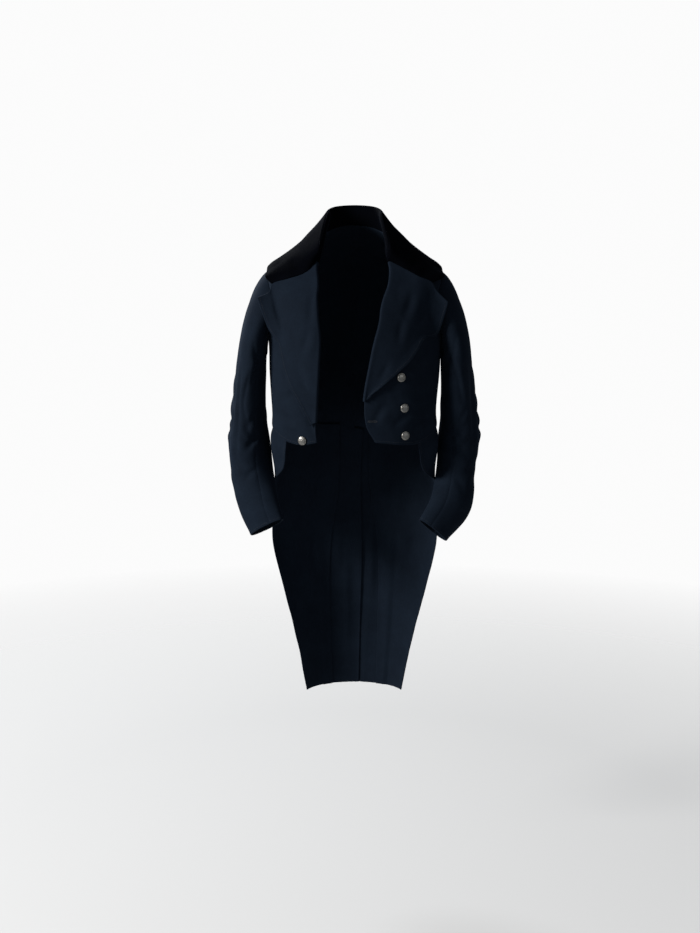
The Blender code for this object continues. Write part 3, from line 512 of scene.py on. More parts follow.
def front_panel(side_name):
    """Surface of a front panel as a function of across and row."""
    side = SIDES[side_name]

    def surface(across, row):
        inner = front_edge(side_name, row)
        outer = front_side(side, row)
        domain = inner + (outer - inner) * across[..., None]
        inner_end = front_edge(side_name, FRONT_ROWS)
        outer_end = front_side(side, np.array(float(FRONT_ROWS)))
        straight = inner_end + (outer_end - inner_end) * across[..., None]
        share = np.clip((row - ARM_ROWS) / FRONT_ROWS_BELOW_ARM, 0, 1)
        domain = domain + (front_hem(side_name, across) - straight) * share[..., None]
        return cloth(domain)

    return surface


def side_back_seam(down, side):
    """Seam between the side body and the back; down is 0 at the armhole and 1 at the waist."""
    rows = np.vstack([armhole(BACK_SEAM), [(p.angle, p.level) for p in SIDE_BACK]])
    return along(rows, np.asarray(down) * (len(rows) - 1)) * np.array([side, 1])


def side_panel(side_name):
    """Surface of a side body as a function of across and row."""
    side = SIDES[side_name]

    def surface(across, row):
        down = row / FRONT_ROWS_BELOW_ARM
        front = side_seam(down, side)
        back = side_back_seam(down, side)
        domain = front + (back - front) * across[..., None]
        top = armhole(SIDE_SEAM + across * (BACK_SEAM - SIDE_SEAM)) * np.array([side, 1])
        corner = armhole(SIDE_SEAM) * np.array([side, 1])
        far = armhole(BACK_SEAM) * np.array([side, 1])
        domain = domain + (top - corner - (far - corner) * across[..., None]) * (1 - down)[..., None]
        foot_angle = SIDE_SEAM_FOOT + (SIDE_BACK[-1].angle - SIDE_SEAM_FOOT) * across
        straight = side_seam(np.array(1.0), side)[1] * (1 - across) + WAIST * across
        domain[..., 1] += (waist_level(foot_angle) - straight) * down**2
        return cloth(domain)

    return surface


BACK_ARM_ROWS = round((360 + SHOULDER_SEAM - BACK_SEAM) * ARMHOLE_STEPS / 360)
BACK_WAIST_ROW = BACK_ARM_ROWS + FRONT_ROWS_BELOW_ARM
STRIP_ROWS = 15
BACK_ROWS = BACK_WAIST_ROW + STRIP_ROWS
NAPE_ROW = 4.0
HEM = float(LAST_LEVEL)
VENT_LAP_ANGLE = math.degrees(VENT_LAP / BACK_RADIUS)
VENT_LIFT_START = 169.0
VENT_LIFT_RAMP = 9.0
VENT_LIFT_LEVELS = 0.14
UNDERLAP_ANGLE = 4.0
UNDERLAP_RAMP = 0.08
VENT_START = 0.1
VENT_RAMP = 0.35


def back_middle(side_name, row):
    """Neckline and then the middle of the back, at a row of the back panel."""
    rows = [(NECK_SEAM_ANGLE, 0), (180, 0), (180, 3.0), (180, WAIST), (180, HEM)]
    stations = [0, NAPE_ROW, BACK_ARM_ROWS, BACK_WAIST_ROW, BACK_ROWS]
    angle, level = (np.interp(row, stations, column) for column in zip(*rows))
    if side_name == "left":
        angle = angle + VENT_LAP_ANGLE * ease((level - WAIST - VENT_START) / VENT_RAMP)
    else:
        angle = angle + UNDERLAP_ANGLE * ease((level - WAIST) / UNDERLAP_RAMP)
    return np.stack([SIDES[side_name] * angle, level], -1)


def back_side(side, row):
    """Armhole, side-back seam and then the pleat line, at a row of the back panel."""
    row = np.asarray(row, float)
    on_arm = armhole(360 + SHOULDER_SEAM - row * 360 / ARMHOLE_STEPS) * np.array([side, 1])
    down = np.clip((row - BACK_ARM_ROWS) / FRONT_ROWS_BELOW_ARM, 0, 1)
    on_seam = side_back_seam(down, side)
    level = WAIST + (HEM - WAIST) * np.clip((row - BACK_WAIST_ROW) / STRIP_ROWS, 0, 1)
    on_pleat = np.stack([side * pleat_angle(level), level], -1)
    lower = np.where((row <= BACK_WAIST_ROW)[..., None], on_seam, on_pleat)
    return np.where((row <= BACK_ARM_ROWS)[..., None], on_arm, lower)


def pleat_angle(level):
    """Angle of the pleat line at a level."""
    return np.interp(level, [p.level for p in PLEAT_LINE], [p.angle for p in PLEAT_LINE])


def back_panel(side_name):
    """Surface of a back with the narrow skirt that is cut in one with it."""
    side = SIDES[side_name]

    def surface(across, row):
        inner = back_middle(side_name, row)
        outer = back_side(side, row)
        domain = inner + (outer - inner) * across[..., None]
        lift = np.zeros(domain.shape[:-1])
        if side_name == "left":
            inwards = ease((domain[..., 0] - VENT_LIFT_START) / VENT_LIFT_RAMP)
            lift = VENT_LIFT * inwards * ease(1 + (domain[..., 1] - WAIST) / VENT_LIFT_LEVELS)
        return cloth(domain, lift)

    return surface


# Levels below the waist, and degrees before the pleat, over which a tail lies under its neighbours
INSET_START = 0.05
INSET_RAMP = 0.5
PLEAT_RAMP = 7.0


def skirt_panel(side_name):
    """Surface of a tail from its front edge to the hidden edge of the pleat."""
    side = SIDES[side_name]
    edge = table(TAIL_EDGE[side_name])

    def surface(across, row):
        share = row / SKIRT_ROWS
        level = WAIST + (HEM - WAIST) * share
        start = through(edge[:, 0], edge[:, 1:], level)[..., 0]
        pleat = pleat_angle(level)
        end = pleat + math.degrees(PLEAT_DEPTH / BACK_RADIUS)
        angle = start + (end - start) * across
        seam = waist_level(angle) - LAP_AT_WAIST / LEVEL_HEIGHT
        level = seam + (HEM - seam) * share
        at_waist = 1 - ease((level - waist_level(angle) - INSET_START) / INSET_RAMP)
        at_pleat = ease(1 + (angle - pleat) / PLEAT_RAMP)
        inset = np.maximum(WAIST_INSET * at_waist, PLEAT_INSET * at_pleat)
        return cloth(np.stack([side * angle, level], -1), -inset)

    return surface


def quadratic(start, middle, end, share):
    """Point of the parabola that passes three points at shares 0, a half and 1."""
    t = share[..., None]
    return start * (1 - t) * (1 - 2 * t) + middle * 4 * t * (1 - t) + end * t * (2 * t - 1)


# Rows before and after a place that give the direction of the front edge there
HINGE_STEP = 0.02


def lapel(side_name):
    """Visible face of a turned-back lapel as a function of column and row of its front panel."""
    side = SIDES[side_name]
    last = BREAK_ROW[side_name]
    edge = np.array([coat_point(p, side) for p in LAPEL_EDGE[side_name]])

    def hinge(row):
        domain = front_edge(side_name, row)
        base = cloth(domain)
        normal = coat_normal(domain)
        before = coat(front_edge(side_name, row - HINGE_STEP))
        ahead = coat(front_edge(side_name, row + HINGE_STEP)) - before
        inward = unit(np.cross(normal, ahead)) * -side
        return base, normal, inward

    def fall(share, row):
        base, normal, _ = hinge(row)
        start = base + normal * (2 * ROLL_RADIUS + CLOTH)
        end = along(edge, (row - GORGE_ROW) / (last - GORGE_ROW) * (len(edge) - 1))
        half = (base + end) / 2
        seen = np.clip(half[..., 0], -FLAT_FRONT, FLAT_FRONT)
        under = place(seen.ravel(), half[..., 2].ravel())
        under = under.reshape(half.shape[:-1] + (2,))
        middle = coat(under) + coat_normal(under) * LAPEL_LIFT
        return quadratic(start, middle, end, share)

    def surface(column, row):
        alpha = math.pi * np.clip(column / ROLL_STEPS, 0, 1)[..., None]
        share = np.clip((column - ROLL_STEPS) / LAPEL_COLUMNS, 0, 1)
        base, normal, inward = hinge(row)
        roll = base + inward * ROLL_OUT * np.sin(alpha)
        roll = roll + normal * (ROLL_RADIUS - ROLL_OUT * np.cos(alpha))
        flat = fall(share, row)
        gorge = np.full_like(row, GORGE_ROW)
        top_points = np.array([coat_point(p, side) for p in LAPEL_TOP[side_name]])
        first = fall(np.zeros(1), np.array([GORGE_ROW]))
        top = through(LAPEL_TOP_STATIONS, np.vstack([first, top_points, edge[:1]]), share)
        down = ((row - GORGE_ROW) / (last - GORGE_ROW))[..., None]
        flat = flat + (top - fall(share, gorge)) * (1 - down) ** 3
        flat = kept_clear(flat, LIFT_OVER_COAT)
        return np.where((column <= ROLL_STEPS)[..., None], roll, flat)

    return surface


COLLAR_ROWS = len(COLLAR)
COLLAR_ACROSS = ROLL_STEPS + round(0.75 * LAPEL_COLUMNS)
# Columns of the neckline, the stand, the fold, the start of the fall, its middle and its edge
COLLAR_STATIONS = [0.0, 1.8, 2.9, ROLL_STEPS, COLLAR_ACROSS - 3.2, COLLAR_ACROSS]
COLLAR_ROLL_DROP = np.array([0, 0, 6.2 * MM])


def collar_section(side_name, number, column):
    """Visible face of the collar at one row of its table, from the neckline to the outer edge."""
    side = SIDES[side_name]
    row = COLLAR[number]
    if row.front_row > 0:
        neck = cloth(front_edge(side_name, np.array(row.front_row)))
    else:
        neck = cloth(np.array([side * row.angle, 0.0]))
    fold = np.array([side * row.fold_x, row.fold_y, row.fold_z]) * MM
    edge = np.array([side * row.edge_x, row.edge_y, row.edge_z]) * MM
    if row.front_row == 0:
        edge = laid(edge, LIFT_OVER_COAT)
    outward = unit(fold * np.array([1, 1, 0]))
    neck = neck - outward * (CLOTH + COLLAR_STAND_INSET)
    inside = fold - outward * ROLL_OUT - COLLAR_ROLL_DROP
    outside = fold + outward * ROLL_OUT - COLLAR_ROLL_DROP
    middle = laid((fold + edge) / 2, row.mid_lift * MM)
    points = np.array([neck, inside, fold, outside, middle, edge])
    section = through(COLLAR_STATIONS, points, column)
    lying = (column >= ROLL_STEPS)[..., None]
    return np.where(lying, kept_clear(section, LIFT_OVER_COAT), section)


def collar(column, turn):
    """Visible face of the collar; turn runs from -1 at the right gorge to 1 at the left one."""
    columns = np.unique(column)
    halves = []
    for side_name in ("right", "left"):
        last = lapel(side_name)(columns, np.full_like(columns, GORGE_ROW))
        rows = [collar_section(side_name, number, columns) for number in range(COLLAR_ROWS)]
        halves.append(rows + [last])
    rows = np.array(halves[0][:0:-1] + halves[1])
    at = (turn + 1) / 2 * (len(rows) - 1)
    smooth = along(rows.reshape(len(rows), -1), at).reshape(at.shape + (len(columns), 3))
    picked = np.searchsorted(columns, column)
    points = np.take_along_axis(smooth, picked[..., None, None].repeat(3, -1), -2)[..., 0, :]
    lying = (column >= ROLL_STEPS)[..., None]
    return np.where(lying, kept_clear(points, LIFT_OVER_COAT), points)


# Rows before and after a place that give the direction of the arm there
ARM_STEP = 0.05


def arm_frame(side_name, at):
    """Centre, direction across and direction forward of the arm ring at a row of its table."""
    rows = table(ARM_RINGS[side_name])
    at = np.asarray(at)
    ring = along(rows, at)
    centre = ring[..., :3] * MM
    ahead = along(rows, at + ARM_STEP) - along(rows, at - ARM_STEP)
    down = unit(ahead[..., :3])
    across = np.array([1.0, 0, 0])
    across = unit(across - down * down[..., :1])
    forward = np.cross(down, across)
    turn = np.radians(ring[..., 5:6])
    turned = across * np.cos(turn) - forward * np.sin(turn)
    forward = across * np.sin(turn) + forward * np.cos(turn)
    return centre, turned * ring[..., 3:4] * MM, forward * ring[..., 4:5] * MM, down


def sleeve(side_name):
    """Outer face of a sleeve as a function of phi, 0 outside and 90 in front, and share down it."""
    side = SIDES[side_name]
    last = len(ARM_RINGS[side_name]) - 1
    mirror = np.array([side, 1, 1])
    folds = []
    for fold in SLEEVE_FOLDS[side_name]:
        start = fold.along1 * SLEEVE_LENGTH
        end = fold.along2 * SLEEVE_LENGTH
        folds.append(Fold(fold.turn1, start, fold.turn2, end, fold.half_width, fold.depth))

    def surface(phi, share):
        angle = np.radians(phi)[..., None]
        start = coat(armhole(phi)) + np.array([SLEEVE_GAP, 0, 0])
        centre, across, forward, down = arm_frame(side_name, np.zeros_like(phi))
        end = centre + across * np.cos(angle) + forward * np.sin(angle)
        reach = np.linalg.norm(end - start, axis=-1, keepdims=True)
        outside = HEAD_SLOPE_OUTSIDE * np.maximum(np.cos(angle), 0)
        under = HEAD_SLOPE_UNDER * np.maximum(-np.cos(angle), 0)
        slope = np.radians(HEAD_SLOPE + outside + under)
        leave = np.concatenate([np.cos(slope), -HEAD_LEAN * np.sin(angle), -np.sin(slope)], -1)
        second = start + unit(leave) * reach * HEAD_FULLNESS_AT_TOP
        third = end - down * reach * HEAD_FULLNESS_BELOW
        t = np.clip(share / HEAD_SHARE, 0, 1)[..., None]
        head = start * (1 - t) ** 3 + second * 3 * t * (1 - t) ** 2
        head = head + third * 3 * t**2 * (1 - t) + end * t**3
        at = np.clip((share - HEAD_SHARE) / (1 - HEAD_SHARE), 0, 1) * last
        centre, across, forward, down = arm_frame(side_name, at)
        arm = centre + across * np.cos(angle) + forward * np.sin(angle)
        points = np.where((share <= HEAD_SHARE)[..., None], head, arm)
        outward = unit(across * np.cos(angle) + forward * np.sin(angle))
        pressed = np.zeros(share.shape)
        for around in (-360, 0, 360):
            flat = np.stack([(phi + around) * MM, share * SLEEVE_LENGTH * MM], -1)
            pressed += fold_depth(flat, folds)
        return (points - outward * pressed[..., None]) * mirror

    return surface


# Creases that only the looks have, seen from the front, from behind and round the arm. Each one
# runs between two points, bowed to the right of its run where bow is positive; depth is pressed in
Crease = namedtuple("Crease", "x1 z1 x2 z2 bow half_width depth")
# The tails fill out at the hips, where a sleeve lies near them
HIP_RIDGES = rows_of(
    Crease,
    (184, -385, 183, -535, 0, 16, -2.3), (-184, -385, -183, -535, 0, 16, -3.4),
)
FRONT_CREASES = rows_of(
    Crease,
    (-163, -196, -128, -262, 6, 9, 2.7), (-142, -300, -104, -236, -5, 7, 1.9),
    (-120, -330, -92, -282, 4, 6, 1.4), (-150, -345, -112, -322, 5, 8, 2.1),
    (-110, -352, -84, -424, -6, 8, 2.4), (-165, -372, -122, -398, 5, 9, 2.6),
    (-150, -408, -110, -418, 3, 7, 1.6), (160, -205, 132, -268, -5, 9, 2.6),
    (140, -305, 112, -262, 4, 8, 2.1), (150, -340, 96, -330, -5, 8, 1.9),
    (66, -352, 38, -398, 5, 8, 1.9), (160, -380, 120, -400, -5, 9, 2.6),
    (122, -372, 80, -402, 4, 7, 1.6), (90, -330, 64, -322, 3, 7, 1.4),
) + HIP_RIDGES
BACK_CREASES = rows_of(
    Crease,
    (-116, -480, -100, -860, 9, 17, 4.6), (112, -500, 96, -880, -9, 18, 4.8),
    (-84, -640, -78, -1020, -6, 14, 3.4), (86, -560, 78, -980, 6, 15, 3.6),
    (-160, -560, -134, -820, 8, 15, 3.6), (160, -540, 138, -780, -8, 15, 3.4),
    (-18, -700, -14, -1010, 3, 9, 1.8), (12, -520, 10, -900, -3, 9, 1.8),
    (-150, -258, -108, -300, 6, 10, 2.8), (150, -272, 104, -308, -6, 10, 2.8),
    (-100, -326, -62, -344, 5, 10, 1.7), (96, -320, 60, -340, -5, 10, 1.7),
    (-156, -150, -120, -196, -5, 10, 2.4), (154, -156, 118, -204, 5, 10, 2.4),
    (-158, -190, -96, -236, 7, 11, 2.9), (-140, -240, -60, -262, -6, 10, 2.1),
    (156, -200, 102, -250, -7, 11, 2.7), (132, -262, 70, -270, 5, 9, 1.9),
    (-34, -60, -88, -78, 5, 9, 1.6), (40, -56, 96, -80, -5, 10, 1.8),
    (-22, -296, -40, -370, -5, 9, 1.3), (20, -306, 36, -380, 5, 10, 1.4),
    (-120, -372, -70, -396, 4, 8, 1.9), (126, -368, 76, -392, -4, 9, 1.8),
    (-150, -520, -128, -700, 7, 12, 3.2), (152, -500, 130, -668, -8, 13, 3.4),
    (-96, -470, -90, -640, 5, 10, 2.4), (98, -480, 92, -700, -5, 11, 2.6),
    (-138, -740, -116, -900, -6, 11, 2.6), (140, -720, 122, -860, 6, 12, 2.9),
    (-40, -520, -34, -780, 4, 9, 1.8), (36, -560, 40, -860, -4, 9, 1.9),
) + HIP_RIDGES
# Sleeve creases run in degrees round the arm, 0 outside and 90 in front, and in millimetres down it
SLEEVE_CREASES = {
    "right": rows_of(
        Crease,
        (182, 290, 186, 490, 0, 24, -2.6), (-8, 268, 34, 300, 6, 9, 3.2),
        (-30, 302, 26, 330, -7, 10, 3.8), (-24, 352, 30, 340, 6, 9, 3.4),
        (-34, 384, 18, 404, -6, 10, 3.0), (-20, 432, 28, 420, 5, 9, 2.4),
        (-14, 206, 22, 246, -6, 10, 2.6), (-92, 288, -58, 312, 6, 10, 3.2),
        (-118, 344, -76, 372, -7, 11, 3.4), (-104, 412, -68, 396, 6, 10, 2.6),
        (-86, 188, -66, 256, 6, 11, 2.6), (22, 452, 58, 476, 5, 9, 2.2),
        (52, 196, 62, 420, 5, 8, 3.5), (98, 205, 74, 290, -6, 7, 2.4),
        (126, 168, 96, 246, 6, 8, 2.9), (70, 262, 98, 322, -5, 7, 2.2),
        (88, 330, 128, 300, 5, 8, 2.7), (64, 338, 108, 366, -6, 8, 2.9),
        (96, 384, 136, 352, 6, 8, 2.6), (44, 404, 92, 430, 5, 9, 2.4),
        (80, 462, 124, 436, 5, 8, 2.1), (14, 300, 30, 392, -5, 9, 2.1),
        (-36, 320, -92, 348, 7, 10, 2.9), (-48, 380, -110, 362, -6, 10, 2.6),
        (-130, 300, -170, 336, 6, 10, 3.0), (150, 120, 176, 210, 6, 9, 3.0),
        (-158, 130, -176, 220, -6, 10, 2.9), (30, 492, 76, 508, 4, 8, 1.4),
        (6, 86, 20, 150, 4, 9, 1.6), (-40, 90, -54, 168, -5, 10, 1.9),
    ),
    "left": rows_of(
        Crease,
        (182, 290, 186, 490, 0, 24, -1.8), (-10, 256, 30, 284, -6, 9, 3.2),
        (-32, 290, 24, 322, 7, 10, 3.8), (-26, 344, 26, 334, -6, 9, 3.2),
        (-30, 376, 22, 392, 6, 10, 3.2), (-18, 424, 30, 410, -5, 9, 2.2),
        (-12, 196, 24, 240, 6, 10, 2.6), (-94, 276, -60, 304, -6, 10, 3.2),
        (-120, 330, -80, 362, 7, 11, 3.4), (-102, 400, -70, 388, -6, 10, 2.4),
        (-84, 180, -64, 244, -6, 11, 2.6), (26, 446, 60, 464, -5, 9, 2.0),
        (46, 214, 58, 400, -5, 8, 3.2), (102, 190, 80, 282, 6, 8, 2.6),
        (128, 160, 104, 232, -5, 8, 2.7), (64, 284, 100, 318, 5, 7, 2.2),
        (84, 352, 132, 322, 6, 8, 2.9), (60, 360, 104, 384, -5, 8, 2.7),
        (92, 408, 138, 380, 5, 9, 2.6), (40, 428, 84, 448, -4, 8, 2.1),
        (76, 480, 120, 460, 4, 8, 1.8), (10, 288, 24, 380, 5, 9, 2.1),
        (-40, 306, -98, 330, -7, 10, 2.9), (-52, 366, -116, 350, 6, 10, 2.4),
        (-126, 286, -168, 318, -6, 10, 2.9), (148, 116, 174, 198, -6, 9, 2.9),
        (-156, 122, -174, 206, 6, 10, 2.7), (34, 500, 80, 516, 4, 8, 1.4),
        (4, 80, 16, 146, -4, 9, 1.6), (-44, 96, -58, 176, 5, 10, 1.9),
    ),
}
LAPEL_CREASES = rows_of(
    Crease,
    (-88, -128, -92, -196, 4, 9, 2.2), (-94, -196, -112, -252, -4, 8, 1.8),
    (-172, -150, -140, -186, 4, 9, 1.6), (-120, -280, -96, -330, 4, 8, 1.4),
    (120, -120, 100, -178, -5, 9, 2.4), (100, -178, 90, -232, 4, 8, 2.1),
    (152, -150, 128, -196, -4, 8, 1.4), (70, -262, 46, -312, -4, 7, 1.3),
)
COLLAR_CREASES = rows_of(
    Crease,
    (-150, -66, -120, -88, 4, 9, 1.4), (146, -66, 118, -86, -4, 9, 1.4),
    (-60, 10, -110, -20, 5, 11, 1.3), (62, 8, 112, -24, -5, 11, 1.3),
)
# Straight steps of a bowed crease, and the distance at which the search for its nearest one starts
CREASE_STEPS = 8
FAR_OFF = 1.0
# The low ridge beside a crease: its distance and width in half widths, its height as a share
RIDGE_OFF = 1.8
RIDGE_WIDTH = 1.2
RIDGE_HEIGHT = 0.5
# A crease fades towards its ends, but not quite to nothing
CREASE_END = 0.02
FADE_POWER = 0.8


def press(flat, creases):
    """How far the creases press the cloth in, with a low ridge along one side of each."""
    pressed = np.zeros(flat.shape[:-1])
    for crease in creases:
        start = np.array([crease.x1, crease.z1]) * MM
        end = np.array([crease.x2, crease.z2]) * MM
        side = np.array([end[1] - start[1], start[0] - end[0]])
        bend = start / 2 + end / 2 + side / np.linalg.norm(side) * crease.bow * MM
        best = np.full(flat.shape[:-1], FAR_OFF)
        signed = np.zeros(flat.shape[:-1])
        share = np.zeros(flat.shape[:-1])
        for step in range(CREASE_STEPS):
            t = np.array([step, step + 1]) / CREASE_STEPS
            here, there = (start * (1 - k) ** 2 + bend * 2 * k * (1 - k) + end * k**2 for k in t)
            run = there - here
            reach = np.clip(((flat - here) @ run) / (run @ run), 0, 1)
            off = flat - here - reach[..., None] * run
            distance = np.linalg.norm(off, axis=-1)
            nearer = distance < best
            best = np.where(nearer, distance, best)
            turn = run[0] * off[..., 1] - run[1] * off[..., 0]
            signed = np.where(nearer, distance * np.sign(turn), signed)
            share = np.where(nearer, (step + reach) / CREASE_STEPS, share)
        width = crease.half_width * MM
        trough = np.exp(-((signed / width) ** 2))
        ridge = np.exp(-(((signed - RIDGE_OFF * width) / (RIDGE_WIDTH * width)) ** 2))
        fade = np.sin(math.pi * np.clip(share, CREASE_END, 1 - CREASE_END)) ** FADE_POWER
        pressed += crease.depth * MM * fade * (trough - RIDGE_HEIGHT * ridge)
    return pressed


# How far to each side of a point, across and down, a surface's direction is taken
PANEL_REACH = (0.004, 0.02)
LAPEL_REACH = (0.05, 0.05)
SLEEVE_REACH = (0.5, 0.001)
COLLAR_REACH = (0.05, 0.004)


def grid(surface, columns, rows, reach):
    """Points of a surface at every column and row, and the directions that lead out of it."""
    column_step, row_step = reach
    column, row = np.meshgrid(np.asarray(columns, float), np.asarray(rows, float))
    low = np.maximum(column - column_step, column.min())
    high = np.minimum(column + column_step, column.max())
    across = surface(high, row) - surface(low, row)
    low = np.maximum(row - row_step, row.min())
    high = np.minimum(row + row_step, row.max())
    down = surface(column, high) - surface(column, low)
    return surface(column, row), unit(np.cross(down, across))


def turned_out(outward, points):
    """The directions, turned so that they lead away from the middle of the coat."""
    middle = np.array([0.0, 0.03, 0.0])
    flat = (points - middle) * np.array([1, 1, 0])
    return outward if (outward * flat).sum() > 0 else -outward


# Borders of a grid of points, each with the grid turned so that the border comes first
BORDERS = {
    "top": lambda points: points,
    "bottom": lambda points: points[::-1],
    "first": lambda points: np.swapaxes(points, 0, 1),
    "last": lambda points: np.swapaxes(points, 0, 1)[::-1],
}


def from_first_row(points):
    """Distance of every point from the first row, along its column."""
    spans = np.linalg.norm(np.diff(points, axis=0), axis=-1)
    return np.vstack([np.zeros((1, points.shape[1])), np.cumsum(spans, axis=0)])


def from_border(points, border):
    """Distance of every point from one border, along the grid; in the grid's own order."""
    far = from_first_row(BORDERS[border](points))
    if border in ("first", "last"):
        far = far[::-1] if border == "last" else far
        return np.swapaxes(far, 0, 1)
    return far[::-1] if border == "bottom" else far


# Seams are pressed in, and the cloth is a little thicker in a band along a stitched edge
SEAM_DIP = 0.75 * MM
SEAM_DIP_WIDTH = 3.0 * MM
EDGE_RISE = 0.35 * MM
EDGE_BAND = 7.0 * MM
EDGE_SOFTNESS = 1.6 * MM
# Beside an armhole the cloth keeps its place: how far, and over what distance this ends. The
# armhole is taken as points this many degrees apart
ARMHOLE_CALM = 4.0 * MM
ARMHOLE_BLEND = 22.0 * MM
ARMHOLE_SPACING = 4.0


def away_from_armhole(points):
    """0 at the armholes, where body and sleeve have to meet, and 1 a little way from them."""
    ring = coat(armhole(np.arange(0, 360, ARMHOLE_SPACING)))
    mirrored = points.copy()
    mirrored[..., 0] = np.abs(mirrored[..., 0])
    far = np.full(points.shape[:-1], FAR_OFF)
    for spot in ring:
        far = np.minimum(far, np.linalg.norm(mirrored - spot, axis=-1))
    return ease((far - ARMHOLE_CALM) / ARMHOLE_BLEND)


def sewn(points, outward, edges):
    """Points with their seams pressed in and their stitched edges a little thicker."""
    moved = points.copy()
    calm = away_from_armhole(points)
    for border, kind in edges.items():
        far = from_border(points, border)
        if kind == "seam":
            lift = -SEAM_DIP * np.exp(-((far / SEAM_DIP_WIDTH) ** 2)) * calm
        else:
            lift = EDGE_RISE * (1 - ease((far - EDGE_BAND) / EDGE_SOFTNESS + 0.5))
        moved += outward * lift[..., None]
    return moved


# Slow unevenness of hanging cloth: wave lengths across and down, start and height of each wave
Wave = namedtuple("Wave", "across down start height")
WAVES = [
    Wave(148, 236, 0.4, 0.45),
    Wave(87, -153, 1.9, 0.35),
    Wave(-61, 118, 3.3, 0.25),
    Wave(43, 71, 5.1, 0.15),
]
# How much a wave's place across depends on depth, and how much of the waves some pieces have
WAVE_SLANT = 0.6
SLEEVE_UNEVEN = 0.6
TURNED_BACK_UNEVEN = 0.4


def uneven(points):
    """Small slow waves over the whole coat."""
    lift = np.zeros(points.shape[:-1])
    around = points[..., 0] + WAVE_SLANT * points[..., 1]
    for wave in WAVES:
        turns = around / (wave.across * MM) + points[..., 2] / (wave.down * MM)
        lift += wave.height * MM * np.sin(2 * math.pi * turns + wave.start)
    return lift


def closer(values, share=0.3):
    """Grid values with one more close to each end, which keeps the edges crisp."""
    first = values[0] + (values[1] - values[0]) * share
    last = values[-1] - (values[-1] - values[-2]) * share
    return np.concatenate([values[:1], [first], values[1:-1], [last], values[-1:]])


def pull_in(points, gap):
    """Draw the border of a grid of points in by half a seam's gap."""
    points = points.copy()
    points[0] += unit(points[1] - points[0]) * gap
    points[-1] += unit(points[-2] - points[-1]) * gap
    points[:, 0] += unit(points[:, 1] - points[:, 0]) * gap
    points[:, -1] += unit(points[:, -2] - points[:, -1]) * gap
    return points


def add_mesh(name, points, faces, finish):
    """A named, smooth-shaded mesh object of one material."""
    mesh = bpy.data.meshes.new(name)
    mesh.from_pydata(np.asarray(points).tolist(), [], faces)
    mesh.materials.append(finish)
    mesh.shade_smooth()
    made = bpy.data.objects.new(name, mesh)
    bpy.context.collection.objects.link(made)
    return made


# How far the rim of a sheet bulges, as a share of its thickness
RIM_ROUNDING = 0.42


def shell(name, visible, outward, finish, thickness=CLOTH, gap=SEAM_GAP / 2):
    """A thin closed sheet of cloth with a rounded rim, whose seen face is a grid of points."""
    hidden = pull_in(visible - outward * thickness, gap)
    visible = pull_in(visible, gap)
    rows, columns = visible.shape[:2]
    count = rows * columns
    number = np.arange(count).reshape(rows, columns)
    a, b, c, d = number[:-1, :-1], number[:-1, 1:], number[1:, 1:], number[1:, :-1]
    seen = np.stack([a, d, c, b], -1).reshape(-1, 4)
    faces = np.vstack([seen, seen[:, ::-1] + count])
    rim = np.concatenate([number[0, :-1], number[:-1, -1], number[-1, :0:-1], number[:0:-1, 0]])
    inner = np.concatenate([number[1, :-1], number[:-1, -2], number[-2, :0:-1], number[:0:-1, 1]])
    flat = visible.reshape(-1, 3)
    middle = (flat[rim] + hidden.reshape(-1, 3)[rim]) / 2
    middle += unit(flat[rim] - flat[inner]) * thickness * RIM_ROUNDING
    edge = np.arange(len(rim))
    after = np.roll(edge, -1)
    lip = 2 * count + edge
    upper = np.stack([rim, rim[after], lip[after], lip], -1)
    lower = np.stack([lip, lip[after], rim[after] + count, rim + count], -1)
    faces = np.vstack([faces, upper, lower])
    points = np.vstack([flat, hidden.reshape(-1, 3), middle])
    first_side = points[seen[:, 1]] - points[seen[:, 0]]
    last_side = points[seen[:, 3]] - points[seen[:, 0]]
    leads = np.cross(first_side, last_side)
    if (leads * outward[:-1, :-1].reshape(-1, 3)).sum() < 0:
        faces = faces[:, ::-1]
    return add_mesh(name, points, faces.tolist(), finish)


def ring_faces(first, rings, sides):
    """Faces of a closed tube of rings of points: its sides, then its first and its last end."""
    faces = []
    for low in range(first, first + (rings - 1) * sides, sides):
        high = low + sides
        for k in range(sides):
            after = (k + 1) % sides
            faces.append((low + k, low + after, high + after, high + k))
    faces.append(tuple(range(first + sides - 1, first - 1, -1)))
    top = first + (rings - 1) * sides
    faces.append(tuple(range(top, top + sides)))
    return faces


def upright(normal):
    """The directions across and up in a face with this normal."""
    across = unit(np.cross(normal, np.array([0, 0, 1.0])))
    return across, np.cross(across, normal)


# Stitches: their length, the distance from one to the next, the thread's radius and how far the
# line of stitches runs from the edge
STITCH_LENGTH = 2.6 * MM
STITCH_PITCH = 4.0 * MM
STITCH_RADIUS = 0.26 * MM
STITCH_INSET = 4.5 * MM
STITCH_SIDES = 6
# How far the middle of a stitch stands out, in radii
STITCH_RISE = 0.35
# Rings of one stitch: place along it as a share of its length, and size as a share of its radius
STITCH_RINGS = [(-0.5, 0.35), (-0.32, 0.9), (0.0, 1.0), (0.32, 0.9), (0.5, 0.35)]


def at_distance(at, far, values):
    """The values at a distance, from values that lie at growing distances."""
    return np.array([np.interp(at, far, column) for column in values.T])


def inside_line(points, outward, border):
    """The line of points along which a border is stitched, and the directions out of it."""
    turned = BORDERS[border](points)
    out = BORDERS[border](outward)
    far = from_first_row(turned)
    columns = range(turned.shape[1])
    line = np.array([at_distance(STITCH_INSET, far[:, j], turned[:, j]) for j in columns])
    leads = np.array([at_distance(STITCH_INSET, far[:, j], out[:, j]) for j in columns])
    return line, unit(leads)


